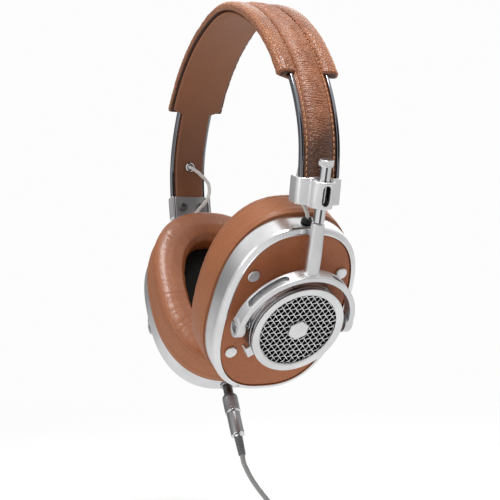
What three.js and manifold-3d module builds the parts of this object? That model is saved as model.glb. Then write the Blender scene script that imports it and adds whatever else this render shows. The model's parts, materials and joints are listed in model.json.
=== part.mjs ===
// Over-ear headphones: leather headband on two steel rails and, on each side, a bracket with a
// sliding post, a forked yoke, a cup with a round drum and grille, an ear pad and a link cable.
// A plug and a stub of cable hang from the left cup.
// Units are millimetres, +Z is up, X runs from ear to ear (+X is the wearer's right) and the
// wearer looks along +Y. The origin is the middle of the headband lining's underside.
// Each side is built in frames whose +X points outwards, away from the head. The left side is
// the right one turned half round Z, so its local +Y points to the rear.
import * as THREE from 'three';
import { mergeVertices } from 'three/addons/utils/BufferGeometryUtils.js';
import Module from 'manifold-3d';

const wasm = await Module();
wasm.setup();

// ---------------------------------------------------------------- dimensions shared by parts
const GAP = 0.3;      // clearance between neighbouring parts
const THROUGH = 40;   // half length of cutters that pass right through a part

// headband arch: rise and drop are from its widest point, and top is the height of its
// middle facet there, which puts the lining's underside on z = 0
const ARCH = { halfWidth: 86.0, rise: 75.5, drop: 90.5, power: 1.14, top: 75.2863 };

// places of the bracket and of a point on the post axis, leaning outwards at the top (degrees)
const BRACKET_PLACE = { x: 83.86, z: -94.0, lean: 12.9 };
const POST_PLACE = { x: 84.95, z: -120.0, lean: 18.23 };
const EYELET_PLACE = [85.7, 0, -71.1];

// channel of the bracket, from its open inner side to its outer wall
const BRACKET = { height: 12.4, halfWidth: 11.3, innerX: -2.2, wallX: 6.2, outerX: 7.7, wall: 1.2 };
const CLAMP_SCREW = { y: 4.8, radius: 1.1 };
const HOUSING = { radius: 5.3, bottom: 18.2, top: 30.9 };   // along the post axis
const POST = { radius: 2.7, top: 37.2 };

// the cup's pivot line from the yoke's origin, and the half-ring fork around it
const PIVOT_PLACE = { x: -12.65, z: -40.17 };
const ARM_TOP = 10.9;
const FORK = { lean: 21.55, radius: 30.5, innerRadius: 27.0, innerX: -0.8, outerX: 6.0 };
const BOSS_INNER = FORK.innerRadius - 0.6;
const PIVOT = { radius: 1.2, clearance: 0.3 };

// cup in its own frame, with the pivots on Y; power is the exponent of its superellipse outline
const CUP = { halfY: 34.5, halfZ: 47.0, power: 2.5, innerX: -18.3, outerX: -5.9, lip: 3.6 };
const OPENING = { halfY: CUP.halfY - CUP.lip, halfZ: CUP.halfZ - CUP.lip + 0.6, power: 2.6 };
const FACE = { thickness: 1.8, outerX: -6.3 };
const DRUM = { radius: 23.4, outerX: 7.3, wall: 2 };
const GRILLE_OPENING = 19.65;
const DRIVER_RADIUS = 21.0;
const BAFFLE = { thickness: 1.8, outerX: CUP.innerX - GAP };
const BAFFLE_INNER_X = BAFFLE.outerX - BAFFLE.thickness;
const CABLE_X = -12.0;   // x of the grommet and of the plug in the cup frame

// button in the right drum's wall; its angle runs from up (0) through the front (90)
const BUTTON = { angle: 238, x0: 1.8, x1: 6.0, halfWidth: 2.9, inner: 21.4, outer: 26.6 };
const BUTTON_GAP = 0.4;

// pose of each side: post pulled out (mm), swivel about the post and tilt of the cup about its
// pivots (degrees), and how far the link cable bows towards local -Y (mm)
const POSES = [
  { name: 'right', sign: 1, out: 0.0, swivel: 6.0, tilt: 17.1, bow: 4.0 },
  { name: 'left', sign: -1, out: 2.8, swivel: 2.0, tilt: 15.2, bow: 9.0 },
];
const FRONT_REAR = [['front', 1], ['rear', -1]];

const FINISHES = {
  aluminium: { color: 0xd9dadb, roughness: 0.32, metalness: 1.0 },
  steel: { color: 0xe4e5e8, roughness: 0.08, metalness: 1.0 },
  leather: { color: 0xa9653f, roughness: 0.55, metalness: 0.0 },
  lining: { color: 0x6e452e, roughness: 0.6, metalness: 0.0 },
  black: { color: 0x141414, roughness: 0.6, metalness: 0.0 },
  grey: { color: 0x7d8084, roughness: 0.45, metalness: 0.9 },
  cable: { color: 0xdcdcdc, roughness: 0.7, metalness: 0.0 },
};

// ---------------------------------------------------------------- solids
const rad = THREE.MathUtils.degToRad;

// Indexed, merged, degenerate-free and outward-facing copy of a geometry.
function clean(geometry) {
  const bare = geometry.clone();
  bare.deleteAttribute('normal');
  bare.deleteAttribute('uv');
  const merged = mergeVertices(bare, 1e-4);
  const position = merged.attributes.position;
  const index = merged.index.array;
  const corners = [new THREE.Vector3(), new THREE.Vector3(), new THREE.Vector3()];
  const kept = [];
  let volume = 0;
  for (let i = 0; i < index.length; i += 3) {
    const triangle = [index[i], index[i + 1], index[i + 2]];
    if (new Set(triangle).size < 3) continue;
    kept.push(...triangle);
    corners.forEach((corner, k) => corner.fromBufferAttribute(position, triangle[k]));
    volume += corners[0].dot(corners[1].cross(corners[2]));
  }
  if (volume < 0) {
    for (let i = 0; i < kept.length; i += 3) {
      [kept[i + 1], kept[i + 2]] = [kept[i + 2], kept[i + 1]];
    }
  }
  merged.setIndex(kept);
  return merged;
}

function toSolid(geometry) {
  const cleaned = clean(geometry);
  return new wasm.Manifold(new wasm.Mesh({
    numProp: 3,
    vertProperties: new Float32Array(cleaned.attributes.position.array),
    triVerts: new Uint32Array(cleaned.index.array),
  }));
}

function toGeometry(solid) {
  const { vertProperties, triVerts } = solid.getMesh();
  const geometry = new THREE.BufferGeometry();
  const position = new THREE.BufferAttribute(new Float32Array(vertProperties), 3);
  geometry.setAttribute('position', position);
  geometry.setIndex(Array.from(triVerts));
  return geometry;
}

const cut = (geometry, ...tools) =>
  toGeometry(tools.reduce((solid, tool) => solid.subtract(toSolid(tool)), toSolid(geometry)));
const join = (geometry, ...more) =>
  toGeometry(more.reduce((solid, part) => solid.add(toSolid(part)), toSolid(geometry)));

// ---------------------------------------------------------------- shapes
const box = (x0, x1, y0, y1, z0, z1) =>
  new THREE.BoxGeometry(x1 - x0, y1 - y0, z1 - z0)
    .translate((x0 + x1) / 2, (y0 + y1) / 2, (z0 + z1) / 2);

// Turned part; profile points are [radius, position along the axis].
function turned(profile, segments, axis) {
  const points = profile.map(([radius, along]) => new THREE.Vector2(radius, along));
  const geometry = new THREE.LatheGeometry(points, segments);
  if (axis === 'x') geometry.rotateZ(-Math.PI / 2);
  if (axis === 'z') geometry.rotateX(Math.PI / 2);
  return geometry;
}

const rod = (radius, start, end, segments, axis) =>
  turned([[0, start], [radius, start], [radius, end], [0, end]], segments, axis);

// Closed superellipse.
function outline(halfY, halfZ, power, count) {
  const bulge = (value) => Math.sign(value) * Math.abs(value) ** (2 / power);
  const points = [];
  for (let i = 0; i < count; i++) {
    const angle = (2 * Math.PI * i) / count;
    points.push(new THREE.Vector2(halfY * bulge(Math.cos(angle)), halfZ * bulge(Math.sin(angle))));
  }
  return new THREE.Shape(points);
}

function withHole(shape, hole) {
  shape.holes.push(hole);
  return shape;
}

// Plate from x0 to x1; its shape lies in the (Y, Z) plane.
const SHAPE_TO_YZ = new THREE.Matrix4().makeBasis(
  new THREE.Vector3(0, 1, 0), new THREE.Vector3(0, 0, 1), new THREE.Vector3(1, 0, 0));
function slab(shape, x0, x1, { bevel = 0, inset = bevel, segments = 1 } = {}) {
  const geometry = new THREE.ExtrudeGeometry(shape, {
    depth: x1 - x0 - 2 * bevel,
    steps: 1,
    curveSegments: 1,
    bevelEnabled: bevel > 0,
    bevelThickness: bevel,
    bevelSize: inset,
    bevelOffset: -inset,
    bevelSegments: segments,
  });
  return geometry.translate(0, 0, x0 + bevel).applyMatrix4(SHAPE_TO_YZ);
}

const alongPath = (shape, extrudePath, steps) =>
  new THREE.ExtrudeGeometry(shape, { steps, bevelEnabled: false, extrudePath });

// Cable with a polygonal section, run through the points.
function cord(points, radius, sides, steps) {
  return alongPath(outline(radius, radius, 2, sides), new THREE.CatmullRomCurve3(points), steps);
}

// ---------------------------------------------------------------- frames
const headphones = new THREE.Group();
headphones.name = 'headphones';

function addMesh(parent, name, geometry, finish) {
  const mesh = new THREE.Mesh(clean(geometry), new THREE.MeshStandardMaterial(FINISHES[finish]));
  mesh.name = name;
  parent.add(mesh);
}

// Group at (x, 0, z), leaned about Y and then turned about Z (degrees).
function frame(parent, { x = 0, z = 0, lean = 0, turn = 0 } = {}) {
  const group = new THREE.Group();
  group.position.set(x, 0, z);
  group.rotation.set(0, rad(lean), rad(turn), 'ZYX');
  parent.add(group);
  return group;
}

function sideFrames({ sign, out, swivel, tilt }) {
  const base = frame(headphones, { turn: sign > 0 ? 0 : 180 });
  const bracket = frame(base, BRACKET_PLACE);
  const axis = frame(base, POST_PLACE);
  const post = frame(axis, { z: -out });
  const yoke = frame(post, { turn: sign * swivel });
  const fork = frame(yoke, { ...PIVOT_PLACE, lean: FORK.lean });
  const cup = frame(yoke, { ...PIVOT_PLACE, lean: tilt });
  return { base, bracket, axis, post, yoke, fork, cup };
}

// Matrix that carries one frame's coordinates into another's.
const between = (from, to) => to.matrixWorld.clone().invert().multiply(from.matrixWorld);

const band = frame(headphones);
const sides = POSES.map((pose) => ({ ...pose, ...sideFrames(pose) }));
headphones.updateMatrixWorld(true);

// ---------------------------------------------------------------- headband
// spans on the arch in degrees: 0 is the +X side, 90 the top
const STRAP = { from: -15.4, to: 180 + 15.4, steps: 33 };
const ROLL = { from: 28.5, to: 180 - 28.5, steps: 21 };

// sections are [y across the strap, distance out of the lining's inner face]
const COVER_SECTION = [
  [-8.0, 2.3], [8.0, 2.3], [8.0, 3.4], [6.3, 4.6],
  [3.2, 5.6], [-3.2, 5.6], [-6.3, 4.6], [-8.0, 3.4],
];
const ROLL_SECTION = [
  [10.3, 2.3], [13.6, 2.3], [14.8, 3.2], [15.1, 4.8], [14.3, 6.4],
  [12.4, 7.4], [10.2, 7.4], [8.9, 6.7], [8.4, 5.7], [10.3, 5.7],
];
const rectangle = (y0, y1, inner, outer) => [[y0, inner], [y1, inner], [y1, outer], [y0, outer]];
const RAIL_SECTION = rectangle(8.3, 9.8, 2.1, 5.2);
const LINING = { thickness: 1.8, halfWidth: 12.8, endHalfWidth: 8.0 };

class Arch extends THREE.Curve {
  constructor(from, to) {
    super();
    this.from = from;
    this.to = to;
  }

  getPoint(t, target = new THREE.Vector3()) {
    const angle = rad(this.from + (this.to - this.from) * t);
    const cos = Math.cos(angle);
    const sin = Math.sin(angle);
    const x = ARCH.halfWidth * Math.sign(cos) * Math.abs(cos) ** ARCH.power;
    const height = sin >= 0 ? ARCH.rise * sin ** ARCH.power : ARCH.drop * sin;
    return target.set(x, 0, height - ARCH.top);
  }
}

function sweep(section, { from, to, steps }) {
  const shape = new THREE.Shape(section.map(([y, out]) => new THREE.Vector2(-y, out)));
  return alongPath(shape, new Arch(from, to), steps);
}

// Bores for a bracket's two clamp screws, in the bracket frame.
const clampBores = (x0, x1) => [-1, 1].map((end) =>
  rod(CLAMP_SCREW.radius + GAP, x0, x1, 10, 'x').translate(0, end * CLAMP_SCREW.y, 0));

function addHeadband() {
  const screwHoles = sides.flatMap(({ bracket }) =>
    clampBores(-6, BRACKET.wallX).map((bore) => bore.applyMatrix4(bracket.matrixWorld)));
  const eyeletHoles = sides.map(({ base }) =>
    rod(2.1, -3, 2.1, 12, 'x').translate(...EYELET_PLACE).applyMatrix4(base.matrixWorld));

  // lining: wide between the side rolls, with a narrow tail running down to each bracket
  const { thickness, halfWidth, endHalfWidth } = LINING;
  const tailSection = rectangle(-endHalfWidth, endHalfWidth, 0.02, thickness);
  const lining = join(
    sweep(rectangle(-halfWidth, halfWidth, 0, thickness),
      { from: ROLL.from + 0.6, to: ROLL.to - 0.6, steps: ROLL.steps }),
    sweep(tailSection, { from: STRAP.from, to: ROLL.from + 5, steps: 8 }),
    sweep(tailSection, { from: ROLL.to - 5, to: STRAP.to, steps: 8 }));
  addMesh(band, 'headband_lining', cut(lining, ...screwHoles, ...eyeletHoles), 'lining');
  addMesh(band, 'headband_centre_cover', cut(sweep(COVER_SECTION, STRAP), ...screwHoles),
    'leather');

  for (const [place, end] of FRONT_REAR) {
    const facing = (section) =>
      (end > 0 ? section : section.map(([y, out]) => [-y, out]).reverse());
    addMesh(band, `rail_${place}`, sweep(facing(RAIL_SECTION), STRAP), 'steel');
    addMesh(band, `side_roll_${place}`, sweep(facing(ROLL_SECTION), ROLL), 'leather');
  }
}

// ---------------------------------------------------------------- bracket and post
// Channel around the strap end, with the post housing on its outer wall.
function addBracket({ name, bracket, axis }) {
  const { height, halfWidth, innerX, wallX, outerX, wall } = BRACKET;
  const toBracket = between(axis, bracket);
  const insideHalf = halfWidth - wall;
  const body = join(
    box(innerX, outerX, -halfWidth, halfWidth, -height / 2, height / 2),
    rod(HOUSING.radius, HOUSING.bottom, HOUSING.top, 24, 'z').applyMatrix4(toBracket),
    // block that ties the housing to the wall
    box(wallX, 10.5, -4.6, 4.6, -4.6, 5.4));
  const postBore = rod(POST.radius + GAP, 0, 50, 16, 'z');
  const window = box(POST.radius - 1, 9, -1.5, 1.5, HOUSING.bottom + 3.2, HOUSING.top - 2.8);
  addMesh(bracket, `bracket_${name}`, cut(body,
    box(innerX - 1, wallX, -insideHalf, insideHalf, -height, height),
    postBore.applyMatrix4(toBracket),
    window.applyMatrix4(toBracket),
    ...clampBores(3, wallX + 0.9)), 'aluminium');
}

function addClamp({ name, sign, bracket }) {
  const halfHeight = BRACKET.height / 2 - 0.2;
  addMesh(bracket, `clamp_plate_${name}`,
    cut(box(-1.8, -0.6, -9.4, 9.4, -halfHeight, halfHeight), ...clampBores(-6, 6)), 'grey');
  const { y, radius } = CLAMP_SCREW;
  const tip = BRACKET.wallX + 0.5;
  const profile = [
    [0, tip], [radius, tip], [radius, -2.1], [2.2, -2.1], [2.2, -2.7], [1.5, -3.1], [0, -3.1],
  ];
  for (const [place, end] of FRONT_REAR) {
    addMesh(bracket, `clamp_screw_${name}_${place}`,
      turned(profile, 10, 'x').translate(0, sign * end * y, 0), 'grey');
  }
}

// Flanged tube in the lining, where the link cable leaves the strap.
function addEyelet({ name, base }) {
  const profile = [
    [1.45, 1.6], [1.75, 1.6], [1.75, -0.8], [2.6, -0.8],
    [2.6, -1.2], [2.1, -1.5], [1.45, -1.5], [1.45, 1.6],
  ];
  addMesh(base, `cable_eyelet_${name}`,
    turned(profile, 12, 'x').translate(...EYELET_PLACE), 'grey');
}

// Rod that slides through the housing, with a cap on a spigot at its top end.
function addPost({ name, post }) {
  const { radius, top } = POST;
  const foot = ARM_TOP + GAP;
  addMesh(post, `post_${name}`, turned([
    [0, foot], [radius, foot], [radius, top - 0.8], [1.4, top - 0.8], [1.4, top + 2.4],
    [0, top + 2.4],
  ], 16, 'z'), 'steel');
  addMesh(post, `post_cap_${name}`, turned([
    [1.6, -0.5], [3.5, -0.5], [3.5, 3.0], [3.0, 3.5], [0, 3.5], [0, 2.7], [1.6, 2.7], [1.6, -0.5],
  ], 20, 'z').translate(0, 0, top), 'steel');
}

// ---------------------------------------------------------------- yoke
const pivotBore = () => rod(PIVOT.radius + PIVOT.clearance, -THROUGH, THROUGH, 12, 'y');

// Half ring over the cup, its ends carried straight down a little below the pivots.
function forkShape() {
  const endZ = -1.5;
  const arch = (radius) => {
    const points = [new THREE.Vector2(radius, endZ)];
    for (let i = 0; i <= 20; i++) {
      const angle = (Math.PI * i) / 20;
      points.push(new THREE.Vector2(radius * Math.cos(angle), radius * Math.sin(angle)));
    }
    points.push(new THREE.Vector2(-radius, endZ));
    return points;
  };
  return new THREE.Shape([...arch(FORK.radius), ...arch(FORK.innerRadius).reverse()]);
}

// Arm along the post axis that opens into the fork, with a boss at each end of the fork.
function addYoke({ name, yoke, fork }) {
  const bossRadius = 4.0;
  const bossOuter = FORK.radius + 0.3;
  const boss = (y0, y1) =>
    rod(bossRadius, y0, y1, 16, 'y').translate(FORK.innerX + bossRadius - 0.9, 0, -1.4);
  const arm = turned(
    [[0, -15], [3.0, -15], [3.2, ARM_TOP - 0.6], [2.6, ARM_TOP], [0, ARM_TOP]], 18, 'z');
  const body = join(slab(forkShape(), FORK.innerX, FORK.outerX, { bevel: 0.5 }),
    boss(BOSS_INNER, bossOuter), boss(-bossOuter, -BOSS_INNER),
    arm.applyMatrix4(between(yoke, fork)));
  const insideFork = rod(BOSS_INNER - GAP, -THROUGH, THROUGH, 32, 'x');
  addMesh(fork, `yoke_${name}`, cut(body, insideFork, pivotBore()), 'aluminium');
}

// ---------------------------------------------------------------- cup
// studs on the face plate: [name, front or rear, upper or lower]
const STUDS = [
  ['front_upper', 1, 1], ['rear_upper', -1, 1], ['front_lower', 1, -1], ['rear_lower', -1, -1],
];
const STUD_PLACE = { y: 23.4, z: 21.9 };

function addCupFrame({ name, cup }) {
  const { halfY, halfZ, power, innerX, outerX } = CUP;
  const ring = withHole(outline(halfY, halfZ, power, 32),
    outline(OPENING.halfY, OPENING.halfZ, OPENING.power, 32));
  const holes = [rod(1.9, halfZ - 5, halfZ + 2, 12, 'z')];
  if (name === 'left') holes.push(rod(3.2, -halfZ - 2, -halfZ + 6, 14, 'z'));
  addMesh(cup, `cup_frame_${name}`, cut(slab(ring, innerX, outerX, { bevel: 0.6 }),
    ...holes.map((hole) => hole.translate(CABLE_X, 0, 0))), 'aluminium');
}

function addFacePlate({ name, sign, cup }) {
  const { thickness, outerX } = FACE;
  const shape = outline(OPENING.halfY - GAP, OPENING.halfZ - GAP, OPENING.power, 32);
  const holes = STUDS.map(([, ySign, zSign]) => rod(1.3, outerX - 4, outerX + 1, 8, 'x')
    .translate(0, ySign * STUD_PLACE.y, zSign * STUD_PLACE.z));
  addMesh(cup, `face_plate_${name}`,
    cut(slab(shape, outerX - thickness, outerX), ...holes), 'leather');

  const tail = -thickness - 0.6;
  const profile = [
    [0, tail], [1.0, tail], [1.0, 0.25], [2.8, 0.25], [2.8, 0.9], [2.2, 1.4], [0, 1.4],
  ];
  for (const [place, ySign, zSign] of STUDS) {
    addMesh(cup, `face_stud_${name}_${place}`, turned(profile, 10, 'x')
      .translate(outerX, sign * ySign * STUD_PLACE.y, zSign * STUD_PLACE.z), 'aluminium');
  }
}

// Block in the drum's wall at the button's angle, grown by a gap.
const buttonBlock = (gap, inner, outer) => box(BUTTON.x0 - gap, BUTTON.x1 + gap,
  -BUTTON.halfWidth - gap, BUTTON.halfWidth + gap, inner, outer).rotateX(-rad(BUTTON.angle));

// Barrel open on its outer side, with a pivot post at each end of the Y axis.
function addDrum({ name, cup }) {
  const { radius, outerX, wall } = DRUM;
  const floor = FACE.outerX + GAP;
  const barrel = turned([
    [0, floor], [radius, floor], [radius, outerX], [radius - wall, outerX],
    [radius - wall, floor + 2], [0, floor + 2],
  ], 28, 'x');
  const postInner = radius - 1.5;
  const postOuter = BOSS_INNER - 2 * GAP;
  const body = join(barrel, rod(2.6, postInner, postOuter, 14, 'y'),
    rod(2.6, -postOuter, -postInner, 14, 'y'));
  const cutters = [pivotBore()];
  if (name === 'right') cutters.push(buttonBlock(BUTTON_GAP, 18, 30));
  addMesh(cup, `drum_${name}`, cut(body, ...cutters), 'aluminium');
}

function addPivotScrews({ name, sign, cup }) {
  const tip = DRUM.radius - 1.9;
  const head = FORK.radius + 0.6;
  const profile = [
    [0, tip], [PIVOT.radius, tip], [PIVOT.radius, head], [2.4, head], [2.4, head + 0.7],
    [1.9, head + 1.1], [0, head + 1.1],
  ];
  for (const [place, end] of FRONT_REAR) {
    addMesh(cup, `pivot_screw_${name}_${place}`,
      turned(profile, 12, 'y').rotateX(sign * end > 0 ? 0 : Math.PI), 'steel');
  }
}

// Bezel, grille disc and six-sided badge; profiles are measured from the drum's outer edge.
function addDrumFront({ name, cup }) {
  const { radius, outerX } = DRUM;
  addMesh(cup, `bezel_${name}`, turned([
    [GRILLE_OPENING, 0.3], [radius, 0.3], [radius, 1.0], [radius - 0.4, 1.3],
    [GRILLE_OPENING + 0.5, 1.3], [GRILLE_OPENING, 0.9], [GRILLE_OPENING, 0.3],
  ], 28, 'x').translate(outerX, 0, 0), 'aluminium');
  addMesh(cup, `grille_${name}`, rod(GRILLE_OPENING + 1.4, outerX - 0.9, outerX, 24, 'x'), 'steel');
  addMesh(cup, `badge_${name}`,
    turned([[0, 0.3], [5.0, 0.3], [5.0, 1.0], [4.6, 1.3], [0, 1.3]], 6, 'x')
      .rotateX(rad(8)).translate(outerX, 0, 0), 'aluminium');
}

// Driver, the baffle behind which it sits, and the ear pad against the head.
function addCupInside({ name, cup }) {
  addMesh(cup, `driver_${name}`, turned([
    [0, 7.2], [11, 7.2], [12, 6.2], [12, 2.6], [DRIVER_RADIUS, 1.9], [DRIVER_RADIUS, 0.5],
    [DRIVER_RADIUS - 3, 0.5], [9, 2.0], [0, 1.0],
  ], 16, 'x').translate(CUP.innerX, 0, 0), 'black');

  const baffle = outline(CUP.halfY - 1.2, CUP.halfZ - 1.2, CUP.power, 32);
  addMesh(cup, `baffle_${name}`, cut(slab(baffle, BAFFLE_INNER_X, BAFFLE.outerX),
    rod(DRIVER_RADIUS - 3.5, -THROUGH, 0, 20, 'x')), 'black');

  const pad = withHole(outline(CUP.halfY + 0.9, CUP.halfZ + 1.6, 2.4, 28),
    outline(18.5, 31.0, 2.2, 28));
  addMesh(cup, `ear_pad_${name}`, slab(pad, -37.0, BAFFLE_INNER_X - GAP,
    { bevel: 4.2, inset: 3.0, segments: 2 }), 'leather');
}

// ---------------------------------------------------------------- cables
// Point at height z on the cup's cable line, in the side's base frame.
const cablePoint = ({ base, cup }, z) =>
  new THREE.Vector3(CABLE_X, 0, z).applyMatrix4(between(cup, base));

// Cable from the strap to the top of the cup, with its grommet in the cup frame.
function addLinkCable(side) {
  const { name, bow, base, cup } = side;
  const cupTop = CUP.halfZ;
  addMesh(cup, `cable_grommet_${name}`, turned([
    [1.25, -3.6], [1.6, -3.6], [1.6, 0.3], [2.7, 0.3],
    [2.7, 1.2], [2.0, 2.4], [1.25, 2.4], [1.25, -3.6],
  ], 12, 'z').translate(CABLE_X, 0, cupTop), 'black');

  // [x, y, z] from the eyelet down to just above the cup
  const hanging = [
    [86.4, 0, -71.1],
    [83.6, 0, -71.2],
    [81.6, -0.45 * bow, -74.6],
    [80.2, -0.92 * bow, -81.0],
    [79.2, -bow, -89.0],
    [78.4, -0.6 * bow - 1, -97.5],
  ];
  const points = [
    ...hanging.map((point) => new THREE.Vector3(...point)),
    ...[7, 3.2, -3].map((rise) => cablePoint(side, cupTop + rise)),
  ];
  addMesh(base, `link_cable_${name}`, cord(points, 0.95, 6, 20), 'cable');
}

// Socket and plug at the foot of the left cup; profiles are measured from the cup's foot.
function addPlug({ cup }) {
  const addTurned = (name, profile, segments) => addMesh(cup, name,
    turned(profile, segments, 'z').translate(CABLE_X, 0, -CUP.halfZ), 'grey');
  addTurned('jack_socket_left', [
    [1.95, 13.4], [2.9, 13.4], [2.9, -0.3], [3.6, -0.3], [3.6, -0.9], [1.95, -0.9], [1.95, 13.4],
  ], 14);
  addTurned('plug_left', [
    [0, 12.8], [1.1, 12.6], [1.65, 11.2], [1.65, -1.2], [2.5, -1.2], [2.5, -6.6], [3.7, -7.0],
    [4.0, -8.0], [4.0, -16.6], [3.5, -17.0], [3.5, -29.8], [2.3, -30.2], [2.3, -31.2], [0, -31.2],
  ], 18);
}

// Tapered boot and cable in one piece, curving down from the plug to a cut end.
function addMainCable(side) {
  const start = -CUP.halfZ - 31.5;
  const bootEnd = -CUP.halfZ - 41.0;
  const straight = [start, -CUP.halfZ - 40, -CUP.halfZ - 46].map((z) => cablePoint(side, z));
  // [x, y, z] from the end of the straight run
  const curve = [
    [-4.0, -2.3, -7.0], [-8.0, -6.2, -14.0], [-11.6, -11.4, -21.0], [-14.0, -16.6, -26.5],
  ].map((offset) => straight[2].clone().add(new THREE.Vector3(...offset)));
  const boot = turned([[0, start], [2.15, start], [1.8, bootEnd], [0, bootEnd]], 14, 'z')
    .translate(CABLE_X, 0, 0).applyMatrix4(between(side.cup, side.base));
  addMesh(side.base, 'cable_left', join(cord([...straight, ...curve], 1.25, 8, 14), boot), 'cable');
}

// ---------------------------------------------------------------- assembly
const SIDE_PARTS = [
  addBracket, addClamp, addEyelet, addPost, addYoke, addCupFrame, addFacePlate,
  addDrum, addPivotScrews, addDrumFront, addCupInside, addLinkCable,
];
addHeadband();
for (const side of sides) {
  for (const addPart of SIDE_PARTS) addPart(side);
}
const [right, left] = sides;
addMesh(right.cup, 'mute_button_right', buttonBlock(0, BUTTON.inner, BUTTON.outer), 'aluminium');
addPlug(left);
addMainCable(left);

export default headphones;
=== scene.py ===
# Over-ear headphones: a leather headband on two steel rails and, on each side, a bracket,
# a sliding post, a yoke and an oval cup with a woven grille and a leather ear pad.
# +X is the wearer's right, +Y the front, +Z up; the crown of the lining lies near Z = 0.
# Lengths are millimetres until mesh_of() and place() turn them into metres.
import json
import math

import bmesh
import bpy
import numpy as np
from mathutils import Matrix, Vector

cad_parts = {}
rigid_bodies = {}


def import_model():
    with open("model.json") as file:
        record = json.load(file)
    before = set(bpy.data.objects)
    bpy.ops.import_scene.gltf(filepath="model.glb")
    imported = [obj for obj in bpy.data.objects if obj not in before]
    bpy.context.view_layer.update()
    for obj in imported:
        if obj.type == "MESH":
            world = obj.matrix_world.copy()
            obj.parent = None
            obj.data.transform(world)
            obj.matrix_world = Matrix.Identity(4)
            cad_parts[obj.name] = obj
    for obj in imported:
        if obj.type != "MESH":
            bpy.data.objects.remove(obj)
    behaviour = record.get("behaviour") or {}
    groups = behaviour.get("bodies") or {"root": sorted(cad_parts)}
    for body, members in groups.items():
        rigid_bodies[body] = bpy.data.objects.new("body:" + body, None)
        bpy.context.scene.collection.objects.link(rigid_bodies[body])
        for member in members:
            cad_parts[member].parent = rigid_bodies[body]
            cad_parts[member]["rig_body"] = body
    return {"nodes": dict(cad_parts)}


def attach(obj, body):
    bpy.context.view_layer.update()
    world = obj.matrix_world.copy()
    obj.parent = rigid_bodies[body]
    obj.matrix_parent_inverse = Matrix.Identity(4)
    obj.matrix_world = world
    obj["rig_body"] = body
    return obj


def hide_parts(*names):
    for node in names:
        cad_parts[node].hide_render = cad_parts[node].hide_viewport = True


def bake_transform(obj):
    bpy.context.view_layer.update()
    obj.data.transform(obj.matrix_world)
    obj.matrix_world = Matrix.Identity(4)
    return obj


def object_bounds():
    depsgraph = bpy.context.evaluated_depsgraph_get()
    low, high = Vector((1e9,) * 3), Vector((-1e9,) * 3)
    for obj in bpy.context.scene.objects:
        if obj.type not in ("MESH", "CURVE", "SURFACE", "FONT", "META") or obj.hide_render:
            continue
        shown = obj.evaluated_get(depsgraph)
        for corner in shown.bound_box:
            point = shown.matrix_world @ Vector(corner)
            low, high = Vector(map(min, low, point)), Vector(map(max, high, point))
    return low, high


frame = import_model()
CAD_BOX = [[float(c) for c in corner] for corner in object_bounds()]
rng = np.random.default_rng(7)
scene = bpy.context.scene
MM = 0.001

# ------------------------------------------------------------------ shared dimensions
# arch of the lining's inner face, drawn against an angle that starts at the right
ARCH_HALF_WIDTH = 86.0
ARCH_RISE, ARCH_DROP = 75.5, 90.5  # vertical half axes above and below the widest points
ARCH_POWER = 1.14
ARCH_TOP = 75.2863  # how far the whole arch is lowered
STRAP_END, ROLL_END = -15.4, 28.5  # degrees, mirrored on the left

# side: +1 right, -1 left; out: post drawn out; swivel and tilt: degrees
SIDES = {
    "right": dict(side=1, out=0.0, swivel=6.0, tilt=17.1),
    "left": dict(side=-1, out=2.8, swivel=2.0, tilt=15.2),
}
ENDS = (("front", 1), ("rear", -1))
BRACKET_PLACE, BRACKET_LEAN = (83.86, 0, -94.0), 12.9
POST_PLACE, POST_LEAN = (84.95, 0, -120.0), 18.23
PIVOT_IN, PIVOT_DOWN, FORK_TILT = 12.65, 40.17, 21.55  # pivot line of the cup in the yoke
CLAMP_SCREW_Y = 4.8

# cup frame of reference: x out from the head, z up; outlines are (half y, half z, power)
CUP_Y, CUP_Z = 34.5, 47.0
CUP_OUTLINE = (CUP_Y, CUP_Z, 2.5)
CUP_OPENING = (30.9, 44.0, 2.6)
FACE_OUTLINE = (30.6, 43.7, 2.6)
LIP_X, WALL_X, FACE_X, FACE_T = -5.9, -18.3, -6.3, 1.8
STUD_Y, STUD_Z = 23.4, 21.9
DRUM_R, DRUM_FRONT, MESH_R, BEZEL_X = 23.4, 7.3, 19.65, 8.6
CABLE_X = -12.0  # both cable openings of a cup
CUP_BOTTOM = -CUP_Z


# ------------------------------------------------------------------ frames, as 4x4 arrays
def move(x, y, z):
    m = np.eye(4)
    m[:3, 3] = (x, y, z)
    return m


def turn(axis, degrees):
    angle = math.radians(degrees)
    c, s = math.cos(angle), math.sin(angle)
    i, j = {"x": (1, 2), "y": (2, 0), "z": (0, 1)}[axis]
    m = np.eye(4)
    m[i, i] = m[j, j] = c
    m[i, j], m[j, i] = -s, s
    return m


def side_frames(side, out, swivel, tilt):
    base = np.eye(4) if side > 0 else turn("z", 180)
    axis = base @ move(*POST_PLACE) @ turn("y", POST_LEAN)
    post = axis @ move(0, 0, -out)
    yoke = post @ turn("z", side * swivel)
    pivot = yoke @ move(-PIVOT_IN, 0, -PIVOT_DOWN)
    return dict(base=base, axis=axis, post=post, yoke=yoke,
                bracket=base @ move(*BRACKET_PLACE) @ turn("y", BRACKET_LEAN),
                fork=pivot @ turn("y", FORK_TILT), cup=pivot @ turn("y", tilt))


def at(m, points):
    """points carried through a frame."""
    return np.atleast_2d(np.asarray(points, float)) @ m[:3, :3].T + m[:3, 3]


FRAMES = {tag: side_frames(**values) for tag, values in SIDES.items()}
inverse = np.linalg.inv


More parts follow.
